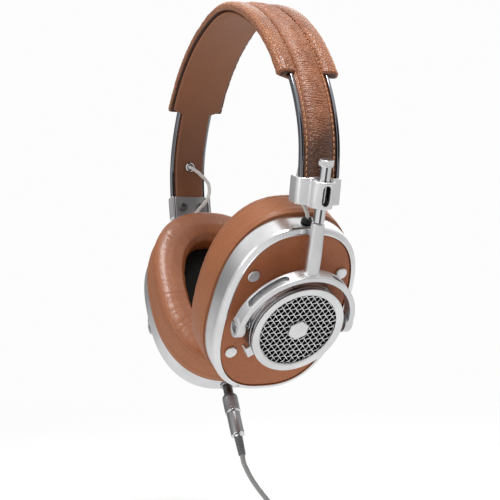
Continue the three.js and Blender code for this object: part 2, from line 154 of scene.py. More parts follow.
# ------------------------------------------------------------------ mesh tools
def mesh_of(name, parts, sharp=40.0, weld=0.0, outward=True):
    """one smooth mesh with creases over the sharp angle; parts are (points, faces)."""
    verts, faces, offset = [], [], 0
    for points, part_faces in parts:
        verts.append(np.asarray(points, float) * MM)
        faces += [[int(i) + offset for i in face] for face in part_faces]
        offset += len(points)
    mesh = bpy.data.meshes.new(name)
    mesh.from_pydata(np.concatenate(verts).tolist(), [], faces)
    if outward:
        bm = bmesh.new()
        bm.from_mesh(mesh)
        if weld:
            bmesh.ops.remove_doubles(bm, verts=bm.verts, dist=weld * MM)
            bmesh.ops.dissolve_degenerate(bm, edges=bm.edges, dist=weld * MM)
        bmesh.ops.recalc_face_normals(bm, faces=bm.faces)
        bm.to_mesh(mesh)
        bm.free()
    mesh.validate()
    mesh.shade_smooth()
    mesh.set_sharp_from_angle(angle=math.radians(sharp))
    return mesh


def quads(k, n, close_rings=False):
    """faces between k rings of n points."""
    i = np.arange(k if close_rings else k - 1)[:, None]
    j = np.arange(n)[None, :]
    i2, j2 = (i + 1) % k, (j + 1) % n
    return np.stack([i * n + j, i2 * n + j, i2 * n + j2, i * n + j2], -1).reshape(-1, 4).tolist()


def loft(rings, close_rings=False, caps=True):
    rings = np.asarray(rings, float)
    k, n = rings.shape[:2]
    faces = quads(k, n, close_rings)
    if caps and not close_rings:
        faces.append(list(range(n))[::-1])
        faces.append([(k - 1) * n + i for i in range(n)])
    return rings.reshape(-1, 3), faces


def fillet(rows, radius=None, closed=True, steps=4):
    """round an outline's corners; rows are (a, b, fillet), or (a, b) with one radius."""
    rows = np.asarray(rows, float)
    points, count = rows[:, :2], len(rows)
    radii = rows[:, 2] if radius is None else np.full(count, radius)
    out = []
    for i, (corner, r) in enumerate(zip(points, radii)):
        if r <= 0 or (not closed and i in (0, count - 1)):
            out.append(corner)
            continue
        back, ahead = points[i - 1] - corner, points[(i + 1) % count] - corner
        back_len, ahead_len = np.linalg.norm(back), np.linalg.norm(ahead)
        back, ahead = back / back_len, ahead / ahead_len
        angle = math.acos(max(-1, min(1, float(back @ ahead))))
        if angle > math.pi - 0.02:
            out.append(corner)
            continue
        cut_back = min(r / math.tan(angle / 2), 0.48 * back_len, 0.48 * ahead_len)
        r_fit = cut_back * math.tan(angle / 2)
        both = back + ahead
        centre = corner + both / np.linalg.norm(both) * r_fit / math.sin(angle / 2)
        start, end = corner + back * cut_back - centre, corner + ahead * cut_back - centre
        sweep = math.pi - angle
        for step in range(steps + 1):
            t = step / steps
            arc = math.sin((1 - t) * sweep) * start + math.sin(t * sweep) * end
            out.append(centre + arc / math.sin(sweep))
    return np.array(out)


def cut_corners(points, rounds=2):
    """Chaikin smoothing of a closed outline."""
    p = np.asarray(points, float)
    for _ in range(rounds):
        after = np.roll(p, -1, 0)
        p = np.stack([0.75 * p + 0.25 * after, 0.25 * p + 0.75 * after], 1).reshape(-1, 2)
    return p


def even(points, count, closed=True):
    """evenly spaced points along a polyline."""
    p = np.asarray(points, float)
    if closed:
        p = np.vstack([p, p[:1]])
    run = np.r_[0, np.cumsum(np.linalg.norm(np.diff(p, axis=0), axis=1))]
    s = np.linspace(0, run[-1], count + 1)[:-1] if closed else np.linspace(0, run[-1], count)
    return np.stack([np.interp(s, run, p[:, i]) for i in range(p.shape[1])], 1)


def catmull(points, count):
    """Catmull-Rom curve through the points, evenly spaced."""
    p = np.asarray(points, float)
    p = np.vstack([2 * p[0] - p[1], p, 2 * p[-1] - p[-2]])
    t = np.linspace(0, 1, 40, endpoint=False)[:, None]
    out = []
    for a, b, c, d in zip(p, p[1:], p[2:], p[3:]):
        out.append(0.5 * ((2 * b) + (c - a) * t + (2 * a - 5 * b + 4 * c - d) * t ** 2
                          + (3 * b - a - 3 * c + d) * t ** 3))
    out.append(p[-2][None])
    return even(np.vstack(out), count, closed=False)


def lathe(profile, segs, axis, closed=False, ripple=None):
    """(radius, height) profile turned about an axis; ripple(r, h, angle) varies the radius."""
    profile = np.asarray(profile, float)
    angle = (np.arange(segs) * 2 * math.pi / segs)[None, :]
    r = np.repeat(profile[:, :1], segs, 1)
    h = np.repeat(profile[:, 1:], segs, 1)
    if ripple:
        r = ripple(r, h, angle)
    c, s = r * np.cos(angle), r * np.sin(angle)
    points = np.stack({"x": (h, c, s), "y": (s, h, c), "z": (c, s, h)}[axis], -1)
    return points.reshape(-1, 3), quads(len(profile), segs, closed)


def turned(name, rows, segs, axis, sharp=35, radius=None, closed=False, steps=4, level=0.0,
           ripple=None):
    """filleted and turned piece; rows are (radius, height above level, fillet)."""
    rows = np.array(rows, float)
    rows[:, 1] += level
    part = lathe(fillet(rows, radius, closed, steps), segs, axis, closed, ripple)
    return mesh_of(name, [part], sharp, weld=0.0 if closed else 0.002)


def tube(path, radius, segs, caps=True, ripple=None, up=(0, 1, 0)):
    """round tube along a path; ripple(r, index, angle) varies the radius."""
    path = np.asarray(path, float)
    radius = np.broadcast_to(radius, (len(path),)).astype(float)
    tangent = np.gradient(path, axis=0)
    tangent /= np.linalg.norm(tangent, axis=1)[:, None]
    normal = np.cross(tangent[0], up)
    normal /= np.linalg.norm(normal)
    angle = np.arange(segs) * 2 * math.pi / segs
    rings = []
    for i, ahead in enumerate(tangent):
        normal = normal - (normal @ ahead) * ahead
        normal /= np.linalg.norm(normal)
        r = ripple(radius[i], i, angle) if ripple else radius[i]
        rings.append(path[i] + np.outer(r * np.cos(angle), normal)
                     + np.outer(r * np.sin(angle), np.cross(ahead, normal)))
    return loft(rings, caps=caps)


def two_tone(mesh, main, second, is_second):
    mesh.materials.append(main)
    mesh.materials.append(second)
    mesh.polygons.foreach_set("material_index", np.asarray(is_second).astype(np.int32))
    return mesh


# ---- solids from distance functions
def length(*parts):
    return np.sqrt(sum(c * c for c in parts))


def join(a, b, blend):
    h = np.clip(0.5 + 0.5 * (b - a) / blend, 0, 1)
    return b * (1 - h) + a * h - blend * h * (1 - h)


def cut(a, b, blend):
    """a with b taken away."""
    return -join(-a, b, blend)


def d_box(p, low, high, edge):
    low, high = np.array(low, float), np.array(high, float)
    q = np.abs(p - (low + high) / 2) - ((high - low) / 2 - edge)
    return np.linalg.norm(np.maximum(q, 0), axis=1) + np.minimum(q.max(1), 0) - edge


def d_rod(across, along, radius, start, end, edge=0.0):
    """rod, or any prism given its distance across, with rounded ends."""
    x = across - radius + edge
    y = np.abs(along - (start + end) / 2) - (end - start) / 2 + edge
    return np.minimum(np.maximum(x, y), 0) + length(np.maximum(x, 0), np.maximum(y, 0)) - edge


def d_slot(a, b, start, end, half):
    """stadium in the (a, b) plane, its end centres at start and end on a."""
    return length(a - np.clip(a, start, end), b) - half


def edge_ends(axis, rest):
    """index of the lower and upper grid points of all edges along an axis."""
    lower, upper = [rest] * 3, [rest] * 3
    lower[axis], upper[axis] = slice(0, -1), slice(1, None)
    return tuple(lower), tuple(upper)


def nets(name, distance, low, high, cell):
    """surface nets on a grid, then pulled onto the exact surface."""
    ticks = [np.arange(low[i] - 1.5 * cell, high[i] + 1.6 * cell, cell) for i in range(3)]
    grid = np.stack(np.meshgrid(*ticks, indexing="ij"), -1)
    value = distance(grid.reshape(-1, 3)).reshape(grid.shape[:3])
    inside = value < 0
    cells = tuple(size - 1 for size in value.shape)
    total, count = np.zeros(cells + (3,)), np.zeros(cells)
    for axis in range(3):
        others = [i for i in range(3) if i != axis]
        lower, upper = edge_ends(axis, slice(None))
        crossed = inside[lower] != inside[upper]
        fall = np.where(crossed, value[lower] - value[upper], 1)
        hit = grid[lower].copy()
        hit[..., axis] += np.where(crossed, value[lower] / fall, 0) * cell
        for i in (0, 1):
            for j in (0, 1):
                window = [slice(None)] * 3
                for other, start in zip(others, (i, j)):
                    window[other] = slice(start, start + cells[other])
                window = tuple(window)
                total += hit[window] * crossed[window][..., None]
                count += crossed[window]
    active = count > 0
    index = -np.ones(cells, int)
    index[active] = np.arange(active.sum())
    verts = total[active] / count[active][:, None]

    faces = []
    for axis in range(3):
        lower, upper = edge_ends(axis, slice(1, -1))
        crossed = inside[lower] != inside[upper]
        offset = np.array([1, 1, 1])
        offset[axis] = 0
        edges = np.argwhere(crossed) + offset

        def around(da, db):
            where = edges.copy()
            where[:, (axis + 1) % 3] -= da
            where[:, (axis + 2) % 3] -= db
            return index[where[:, 0], where[:, 1], where[:, 2]]
        quad = np.stack([around(1, 1), around(0, 1), around(0, 0), around(1, 0)], 1)
        reverse = ~inside[lower][crossed]
        quad[reverse] = quad[reverse][:, ::-1]
        faces.append(quad)

    probes = 0.02 * np.eye(3)
    for _ in range(3):
        gradient = np.stack([(distance(verts + probe) - distance(verts - probe)) / (2 * 0.02)
                             for probe in probes], 1)
        steep = np.maximum((gradient ** 2).sum(1), 0.2)
        step = (distance(verts) / steep)[:, None] * gradient
        far = np.linalg.norm(step, axis=1)[:, None]
        verts = verts - step * np.minimum(1, 0.4 * cell / np.maximum(far, 1e-9))
    return mesh_of(name, [(verts, np.concatenate(faces).tolist())], sharp=50, outward=False)


# ------------------------------------------------------------------ shader tools
def srgb(rgb):
    """linear RGBA of an 8-bit sRGB colour."""
    return tuple(c / 255 / 12.92 if c <= 10.3 else ((c / 255 + 0.055) / 1.055) ** 2.4
                 for c in rgb) + (1.0,)


class Nodes:
    """short calls that add nodes to a tree; any value may be a number or a socket."""

    def __init__(self, tree):
        self.tree = tree

    def feed(self, node, key, value):
        if isinstance(value, bpy.types.NodeSocket):
            self.tree.links.new(value, node.inputs[key])
        else:
            node.inputs[key].default_value = value

    def node(self, kind, *first, settings=None, **inputs):
        """first fills the inputs in order, the named ones go by their label."""
        node = self.tree.nodes.new(kind)
        for key, value in (settings or {}).items():
            setattr(node, key, value)
        for i, value in enumerate(first):
            self.feed(node, i, value)
        for key, value in inputs.items():
            self.feed(node, key.replace("_", " "), value)
        return node

    def math(self, operation, *values):
        return self.node("ShaderNodeMath", *values, settings={"operation": operation}).outputs[0]

    def add(self, a, b):
        return self.math("ADD", a, b)

    def times(self, a, b):
        return self.math("MULTIPLY", a, b)

    def invert(self, value):
        return self.math("SUBTRACT", 1.0, value)

    def vector(self, operation, *values, **inputs):
        return self.node("ShaderNodeVectorMath", *values, settings={"operation": operation},
                         **inputs)

    def split(self, vector):
        return self.node("ShaderNodeSeparateXYZ", vector).outputs

    def grey(self, value):
        return self.node("ShaderNodeCombineColor", value, value, value).outputs[0]

    def ramp(self, value, *stops):
        """stops are (position, level or colour)."""
        node = self.node("ShaderNodeValToRGB", value)
        elements = node.color_ramp.elements
        while len(elements) < len(stops):
            elements.new(0.5)
        for element, (position, c) in zip(elements, stops):
            element.position = position
            element.color = c if isinstance(c, tuple) else (c, c, c, 1)
        return node.outputs[0]

    def mix(self, factor, a, b, mode="MIX"):
        node = self.node("ShaderNodeMix", settings={"data_type": "RGBA", "blend_type": mode})
        for key, value in ((0, factor), (6, a), (7, b)):
            self.feed(node, key, value)
        return node.outputs[2]

    def smooth_range(self, value, **limits):
        return self.node("ShaderNodeMapRange", value,
                         settings={"interpolation_type": "SMOOTHSTEP"}, **limits).outputs[0]


class Finish(Nodes):
    """a material with a Principled surface, patterned in object space."""

    def __init__(self, name):
        self.material = bpy.data.materials.new(name)
        self.material.use_nodes = True
        super().__init__(self.material.node_tree)
        self.surface = self.tree.nodes["Principled BSDF"]
        self.sources = self.node("ShaderNodeTexCoord").outputs
        self.place = self.sources["Object"]

    def stretched(self, scale):
        return self.node("ShaderNodeMapping", self.place, Scale=scale).outputs[0]

    def noise(self, scale, detail=2.0, rough=0.5, place=None, distort=0.0):
        return self.node("ShaderNodeTexNoise", place or self.place, Scale=scale, Detail=detail,
                         Roughness=rough, Distortion=distort).outputs[0]

    def bump(self, height, strength, depth):
        return self.node("ShaderNodeBump", Strength=strength, Distance=depth,
                         Height=height).outputs[0]

    def set(self, **inputs):
        for key, value in inputs.items():
            self.feed(self.surface, key.replace("_", " "), value)
        return self.material


# ------------------------------------------------------------------ kinds of material
def leather(name, tones, grain, bump, rough, depth, crease=0.25, vary=0.5, stretch=(1, 1, 1),
            painted_shade=None, coat=0.12, coat_rough=0.3):
    """pebbles between fine valleys, soft creases and a slow change of tone.

    tones: light, mid and dark; a dict of low, high, level and lean paints shade: it darkens the
    leather to a level towards low z, where less light falls."""
    look = Finish(name)
    light, mid, dark = (srgb(tone) for tone in tones)
    warp = look.node("ShaderNodeTexNoise", look.place, Scale=300.0, Detail=2.0)
    shift = look.vector("SCALE", warp.outputs["Color"], Scale=0.0009)
    warped = look.vector("ADD", look.stretched(stretch), shift.outputs[0]).outputs[0]

    def cells(feature, **more):
        return look.node("ShaderNodeTexVoronoi", warped, settings={"feature": feature},
                         Scale=grain, **more).outputs["Distance"]
    pebble = look.ramp(cells("SMOOTH_F1", Smoothness=0.35), (0.05, 1.0), (0.42, 0.62), (0.8, 0.0))
    valley = look.ramp(cells("DISTANCE_TO_EDGE"), (0.0, 0.0), (0.22, 1.0))
    fine = look.noise(scale=grain * 4.2, detail=3.0, rough=0.6)
    creases = look.noise(scale=230, detail=5.0, rough=0.6, place=look.stretched(stretch),
                         distort=0.6)
    tone = look.add(look.times(look.noise(scale=17, detail=3.0), 0.7),
                    look.times(look.noise(scale=110, detail=3.0, rough=0.6), 0.3))
    spread = 0.28 / vary * 0.5
    base = look.ramp(tone, (0.5 - spread, dark), (0.5, mid), (0.5 + spread, light))
    shaded = look.mix(look.times(look.invert(valley), 0.5), base, dark)
    # painted glints: light flecks over the grain
    painted_glints = look.times(look.ramp(fine, (0.45, 0.0), (0.7, 1.0)), 0.22)
    colour = look.mix(painted_glints, shaded, light)
    # painted shade: darker towards low z, its edge leaning with y
    if painted_shade:
        place = look.split(look.place)
        height = look.math("SUBTRACT", place["Z"], look.times(place["Y"], painted_shade["lean"]))
        level = look.smooth_range(height, From_Min=painted_shade["low"], From_Max=painted_shade["high"],
                                  To_Min=painted_shade["level"], To_Max=1.0)
        colour = look.mix(1.0, colour, look.grey(level), "MULTIPLY")
    height = look.add(look.times(pebble, 0.6), look.times(valley, 0.4))
    height = look.add(height, look.times(fine, 0.12))
    height = look.add(height, look.times(creases, crease))
    return look.set(
        Base_Color=colour, Normal=look.bump(height, bump, depth),
        Roughness=look.add(rough - 0.06, look.times(look.invert(pebble), 0.22)),
        Specular_IOR_Level=0.55, Sheen_Weight=0.05, Sheen_Roughness=0.4, Sheen_Tint=light,
        Coat_Weight=coat, Coat_Roughness=coat_rough)


def metal(name, colour, rough, bump=0.04, vary=0.06, metallic=1.0, painted_reflections=()):
    """dark reflections are painted into the colour by (degrees round Z, level) stops: the colour
    darkens with the mirror direction, as dark studio panels would.
    """
    look = Finish(name)
    fine = look.noise(scale=7000.0, detail=2.0, rough=0.6)
    cloud = look.noise(scale=60, detail=3.0, rough=0.55)
    low = tuple(c * 0.86 for c in colour)
    tint = look.ramp(cloud, (0.3, low + (1.0,)), (0.65, colour + (1.0,)))
    # painted reflection: colour darkened by the mirror direction's angle round Z
    if painted_reflections:
        mirror = look.split(look.sources["Reflection"])
        angle = look.math("ARCTAN2", mirror["Y"], mirror["X"])
        turns = look.add(0.5, look.times(angle, 0.5 / math.pi))
        level = look.ramp(turns, *[((degrees + 180) / 360, value) for degrees, value in painted_reflections])
        tint = look.mix(1.0, tint, level, "MULTIPLY")
    grain = look.add(look.times(fine, 0.6), look.times(cloud, 0.4))
    return look.set(Base_Color=tint, Metallic=metallic,
                    Roughness=look.add(rough - vary / 2, look.times(grain, vary)),
                    Normal=look.bump(fine, bump, depth=0.00005))


def plastic(name, rgb, rough=0.45, bump=0.08):
    look = Finish(name)
    colour = srgb(rgb)
    fine = look.noise(scale=5000.0, detail=3.0, rough=0.6)
    cloud = look.noise(scale=90, detail=3.0)
    low = tuple(c * 0.7 for c in colour[:3]) + (1.0,)
    return look.set(Base_Color=look.ramp(cloud, (0.3, low), (0.7, colour)),
                    Roughness=look.add(rough - 0.06, look.times(fine, 0.14)),
                    Normal=look.bump(fine, bump, depth=0.00006), Specular_IOR_Level=0.4)


def cloth(name, dark, light, pitch, sheen, specular):
    """plain weave in the piece's (Y, Z) plane."""
    look = Finish(name)
    place = look.split(look.place)
    waves = math.pi / pitch
    a = look.math("SINE", look.times(place["Y"], waves))
    b = look.math("SINE", look.times(place["Z"], waves))
    over = look.math("GREATER_THAN", look.times(a, b), 0.0)
    height = look.add(look.times(look.math("ABSOLUTE", a), over),
                      look.times(look.math("ABSOLUTE", b), look.invert(over)))
    fuzz = look.noise(scale=5200)
    tone = look.times(height, look.add(0.5, look.times(fuzz, 0.7)))
    return look.set(Base_Color=look.ramp(tone, (0.1, srgb(dark)), (0.9, srgb(light))),
                    Roughness=0.85, Normal=look.bump(height, strength=0.6, depth=0.00012),
                    Sheen_Weight=sheen, Specular_IOR_Level=specular)


def yarn(name, light, dark, pitch):
    """braided or twisted fibre."""
    look = Finish(name)
    bands = look.node("ShaderNodeTexWave", look.place, Scale=1.0 / pitch, Distortion=1.2,
                      Detail=2.0, settings={"wave_type": "BANDS", "bands_direction": "DIAGONAL"})
    fuzz = look.noise(scale=6000, detail=3.0)
    tone = look.add(look.times(bands.outputs["Fac"], 0.55), look.times(fuzz, 0.45))
    return look.set(Base_Color=look.ramp(tone, (0.25, srgb(dark)), (0.7, srgb(light))),
                    Roughness=0.7, Normal=look.bump(tone, strength=0.45, depth=0.0001),
                    Sheen_Weight=0.3)


# ------------------------------------------------------------------ the materials
band_leather = leather("band_leather", ((206, 138, 90), (170, 98, 54), (92, 48, 24)), grain=760,
                       bump=0.9, rough=0.32, depth=0.0007, crease=0.3, coat=0.35, coat_rough=0.2)
# the centre cover and the lining get painted shade towards low z; the cover's leaning edge is a
# painted shadow
centre_leather = leather("centre_leather", ((196, 128, 80), (162, 92, 49), (86, 45, 22)),
                         grain=1150, bump=0.55, rough=0.36, depth=0.0005, crease=0.3,
                         stretch=(1, 0.40, 1), coat=0.3,
                         painted_shade=dict(low=-0.074, high=-0.058, level=0.34, lean=0.8))
lining_leather = leather("lining_leather", ((170, 108, 68), (150, 92, 56), (126, 75, 45)),
                         grain=1900, bump=0.15, rough=0.45, depth=0.0002, crease=0.1, vary=0.35,
                         painted_shade=dict(low=-0.075, high=-0.012, level=0.66, lean=0.0))
# darker copy of the band leather: painted shade for the rolls' faces against the lining
underside_shade_leather = leather("underside_shade_leather", ((92, 54, 31), (74, 42, 24), (52, 29, 16)), grain=1500,
                      bump=0.2, rough=0.5, depth=0.0002, crease=0.1, vary=0.35)
face_leather = leather("face_leather", ((200, 122, 74), (180, 102, 57), (138, 74, 40)),
                       grain=1250, bump=0.3, rough=0.46, depth=0.0002, vary=0.4)
pad_leather = leather("pad_leather", ((186, 112, 62), (162, 92, 47), (120, 65, 33)), grain=1500,
                      bump=0.28, rough=0.36, depth=0.00025, crease=0.2, vary=0.4, coat=0.35,
                      coat_rough=0.2)
pad_wall_leather = leather("pad_wall_leather", ((186, 116, 68), (168, 98, 52), (130, 72, 37)),
                           grain=1500, bump=0.2, rough=0.45, depth=0.0002, crease=0.15,
                           vary=0.35)
thread = yarn("orange_thread", (232, 172, 122), (160, 98, 58), pitch=0.0006)
aluminium = metal("satin_aluminium", (0.84, 0.84, 0.85), rough=0.23)
bracket_metal = metal("blasted_aluminium", (0.86, 0.86, 0.86), rough=0.36, bump=0.06)
yoke_metal = metal("cast_aluminium", (0.80, 0.80, 0.81), rough=0.38)
# darker metal for the slots' floors: painted shade in the recess
slot_shade_metal = metal("painted_shade_slot_floor", (0.40, 0.40, 0.41), rough=0.4)
lip_metal = metal("polished_lip", (0.90, 0.90, 0.91), rough=0.17, vary=0.05)
bezel_metal = metal("spun_bezel", (0.86, 0.86, 0.87), rough=0.24)
# the drum and the polished steel get painted dark reflections, set by mirror direction
drum_metal = metal(
    "drum_aluminium", (0.74, 0.75, 0.77), rough=0.2, metallic=0.7,
    painted_reflections=((-180, 0.10), (-140, 0.13), (-131, 0.8), (-122, 1.0), (6, 1.0), (20, 0.14),
            (52, 0.14), (72, 0.8), (118, 0.8), (132, 0.4), (141, 0.12), (180, 0.10)))
steel = metal(
    "polished_steel", (0.88, 0.88, 0.90), rough=0.09, bump=0.01, vary=0.05,
    painted_reflections=((-160, 1.0), (-150, 0.3), (-108, 0.3), (-98, 1.0), (-22, 1.0), (-14, 0.10),
            (24, 0.13), (33, 0.9), (120, 1.0)))
rail_steel = metal("rail_steel", (0.27, 0.28, 0.31), rough=0.13, bump=0.01, vary=0.05)
mesh_steel = metal("mesh_steel", (0.92, 0.92, 0.93), rough=0.24, vary=0.1)
grey_metal = metal("grey_plate", (0.55, 0.55, 0.56), rough=0.36)
dark_metal = metal("dark_screw", (0.20, 0.20, 0.21), rough=0.35)
plug_metal = metal("plug_metal", (0.12, 0.12, 0.12), rough=0.30)
sleeve_metal = metal("plug_sleeve", (0.30, 0.30, 0.31), rough=0.36)
black_plastic = plastic("black_plastic", (24, 24, 25))
grey_rubber = plastic("grey_rubber", (120, 120, 122), rough=0.6, bump=0.15)
black_cloth = cloth("black_cloth", (5, 5, 5), (24, 23, 23), pitch=0.00045, sheen=0.15,
                    specular=0.2)
backing_cloth = cloth("black_backing", (2, 2, 2), (9, 9, 9), pitch=0.0004, sheen=0.0,
                      specular=0.05)
link_yarn = yarn("link_cable", (240, 237, 233), (186, 182, 178), pitch=0.0008)
braid_yarn = yarn("braided_cable", (188, 187, 186), (104, 103, 102), pitch=0.0009)


# ------------------------------------------------------------------ placing pieces
def add_object(name, data):
    obj = bpy.data.objects.new(name, data)
    scene.collection.objects.link(obj)
    return obj


def place(name, mesh, material, slot, where=None, node=None, body=None):
    """put a piece in its frame, for a CAD node and on that node's body unless one is given."""
    obj = add_object(name, mesh)
    if not mesh.materials:
        mesh.materials.append(material)
    matrix = np.eye(4) if where is None else where.copy()
    matrix[:3, 3] *= MM
    obj.matrix_world = Matrix(matrix.tolist())
    if node:
        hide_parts(node)
    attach(obj, body or frame["nodes"][node]["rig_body"])


# ------------------------------------------------------------------ headband arch
ANGLES = np.linspace(STRAP_END - 3, 183 - STRAP_END, 6001)
ARCH_COS, ARCH_SIN = np.cos(np.radians(ANGLES)), np.sin(np.radians(ANGLES))
# the arch bends in a smooth curve over the crown
SMOOTH_HALF, SMOOTH_WIDTH = 480, 150.0  # samples
SMOOTH_KERNEL = np.exp(-0.5 * (np.arange(-SMOOTH_HALF, SMOOTH_HALF + 1) / SMOOTH_WIDTH) ** 2)
SMOOTH_KERNEL /= SMOOTH_KERNEL.sum()
NEAR_CROWN = np.exp(-0.5 * (np.maximum(np.abs(ANGLES - 90) - 18, 0) / 7) ** 2)


def smooth_crown(values):
    smoothed = np.convolve(np.pad(values, SMOOTH_HALF, "edge"), SMOOTH_KERNEL, "valid")
    return values + NEAR_CROWN * (smoothed - values)


ARCH_X = smooth_crown(ARCH_HALF_WIDTH * np.sign(ARCH_COS) * np.abs(ARCH_COS) ** ARCH_POWER)
ARCH_Z = smooth_crown(np.where(ARCH_SIN >= 0, ARCH_RISE * np.abs(ARCH_SIN) ** ARCH_POWER,
                               ARCH_DROP * ARCH_SIN) - ARCH_TOP)
ARCH_RUN = np.r_[0, np.cumsum(np.hypot(np.diff(ARCH_X), np.diff(ARCH_Z)))]
# the leather hangs a little inside the arch, most of all left of the crown
SAG = 1.1 * np.exp(-((ARCH_X + 20) / 42) ** 2) + 0.4 * np.exp(-((ARCH_X - 45) / 30) ** 2)
SAG *= ARCH_Z > -60


def run_at(angle):
    return float(np.interp(angle, ANGLES, ARCH_RUN))


def on_band(run, y, out):
    """points at an arc length, across y, and out from the lining's inner face."""
    run, y, out = np.broadcast_arrays(np.asarray(run, float), y, out)
    reach = 1.6
    ahead, behind = run + reach, run - reach
    dx = np.interp(ahead, ARCH_RUN, ARCH_X) - np.interp(behind, ARCH_RUN, ARCH_X)
    dz = np.interp(ahead, ARCH_RUN, ARCH_Z) - np.interp(behind, ARCH_RUN, ARCH_Z)
    n = np.hypot(dx, dz)
    out = out - np.interp(run, ARCH_RUN, SAG)
    return np.stack([np.interp(run, ARCH_RUN, ARCH_X) + out * dz / n, y,
                     np.interp(run, ARCH_RUN, ARCH_Z) - out * dx / n], -1)


def band_sweep(section, start, end, step, shape=None):
    """sweep a (y, out) section; shape(run, y, out) varies it along the strap."""
    rings = []
    for run in np.linspace(start, end, int((end - start) / step)):
        y, out = section.T
        if shape:
            y, out = shape(run, y, out)
        rings.append(on_band(run, y, out))
    return loft(rings)


STRAP_0, STRAP_1 = run_at(STRAP_END), run_at(180 - STRAP_END)
ROLL_0, ROLL_1 = run_at(ROLL_END), run_at(180 - ROLL_END)
STITCH_PITCH = 2.6
PHASE = rng.uniform(0, 2 * math.pi, 24)
LATTICE = rng.uniform(-1, 1, (64, 64))


def value_noise(u, v):
    """smooth noise on a repeating lattice, about -1 to 1."""
    u, v = np.broadcast_arrays(np.asarray(u, float), np.asarray(v, float))
    i, j = np.floor(u).astype(int), np.floor(v).astype(int)
    a, b = u - i, v - j
    a, b = a * a * (3 - 2 * a), b * b * (3 - 2 * b)

    def knot(p, q):
        return LATTICE[p % 64, q % 64]
    return ((knot(i, j) * (1 - a) + knot(i + 1, j) * a) * (1 - b)
            + (knot(i, j + 1) * (1 - a) + knot(i + 1, j + 1) * a) * b)


# ------------------------------------------------------------------ centre cover
COVER_BASE = 2.3
ROLL_HALF = 6.3  # half width of the stuffed part


def between_rolls(run):
    """1 between the side rolls, 0 on the bare strap below them."""
    t = np.clip((np.minimum(run - ROLL_0, ROLL_1 - run) + 3.0) / 9.0, 0, 1)
    return t * t * (3 - 2 * t)


def cover_top(y, run=ROLL_0 - 20):
    """a stuffed roll with a flat margin along each edge."""
    height = 6.75 + 0.4 * between_rolls(run)
    core = np.clip(1 - (np.abs(y) / ROLL_HALF) ** 2.2, 0, 1) ** 0.6
    margin = 4.75 - 0.45 * np.clip((np.abs(y) - 7.0) / 1.0, 0, 1) ** 2
    return margin + (height - margin) * core


def cover_shape(run, y, out):
    """puckers at the stitches, creases across the roll and rounded strap ends."""
    top = out > 2.9
    wander = run / STITCH_PITCH + 0.15 * value_noise(run / 9, y)
    pucker = (np.exp(-((np.abs(y) - 5.2) / 1.3) ** 2) * 0.12 * np.cos(2 * math.pi * wander))
    bow = run + 0.5 * np.sin(y * 0.45 + 2 * value_noise(run / 9, 3))
    beat = math.pi * (bow / 1.12 + 0.55 * value_noise(run / 4.0, y / 3.5 + 7)
                      + 0.22 * value_noise(run / 1.5, y / 1.8 + 3))
    crease = (-(1 - np.abs(np.sin(beat))) ** 1.6
              * (0.75 + 0.45 * value_noise(run / 2.5, y / 2.2 + 31))
              + value_noise(run / 6.0, y / 4.0) * 0.25)
    crease = (crease * np.clip(1.25 - np.abs(y) / ROLL_HALF, 0, 1)
              * (0.36 + 0.06 * between_rolls(run)))
    end = min(run - STRAP_0, STRAP_1 - run)
    rise = math.sqrt(max(0.0, 1 - (1 - min(end, 1.0)) ** 2))
    full = cover_top(y, run) + pucker + crease
    return y, np.where(top, COVER_BASE + (full - COVER_BASE) * (0.45 + 0.55 * rise), out)


def centre_cover():
    y = np.linspace(-7.95, 7.95, 61)
    under = [[8.0, 2.75]] + [[v, COVER_BASE] for v in (7.85, 4.0, 0.0, -4.0, -7.85)]
    section = np.vstack([np.stack([y, cover_top(y)], 1), under, [[-8.0, 2.75]]])
    sweep = band_sweep(section, STRAP_0, STRAP_1, 0.2, cover_shape)
    return mesh_of("centre_cover", [sweep], sharp=60)


place("centre_cover_leather", centre_cover(), centre_leather, "band_leather",
      node="headband_centre_cover")

# ------------------------------------------------------------------ side rolls and rails
# control outline of a roll: y, out
ROLL_SECTION = even(cut_corners([
    [10.3, 2.0], [12.4, 1.95], [14.4, 2.0], [15.5, 2.6], [15.5, 3.9], [15.25, 5.0], [14.6, 5.75],
    [12.9, 6.5], [10.7, 6.8], [8.6, 6.6], [7.15, 5.95], [6.7, 5.0], [8.1, 5.3], [10.3, 5.3]]), 84)
ROLL_CENTRE = np.array([11.6, 4.4])
HEM_ANGLE = 0.66  # where the hem runs round the roll


def hem_radius():
    y, out = (ROLL_SECTION - ROLL_CENTRE).T
    nearest = int(np.argmin(np.abs(np.arctan2(out, y) - HEM_ANGLE)))
    return float(np.hypot(y[nearest], out[nearest]))


HEM_R = hem_radius()


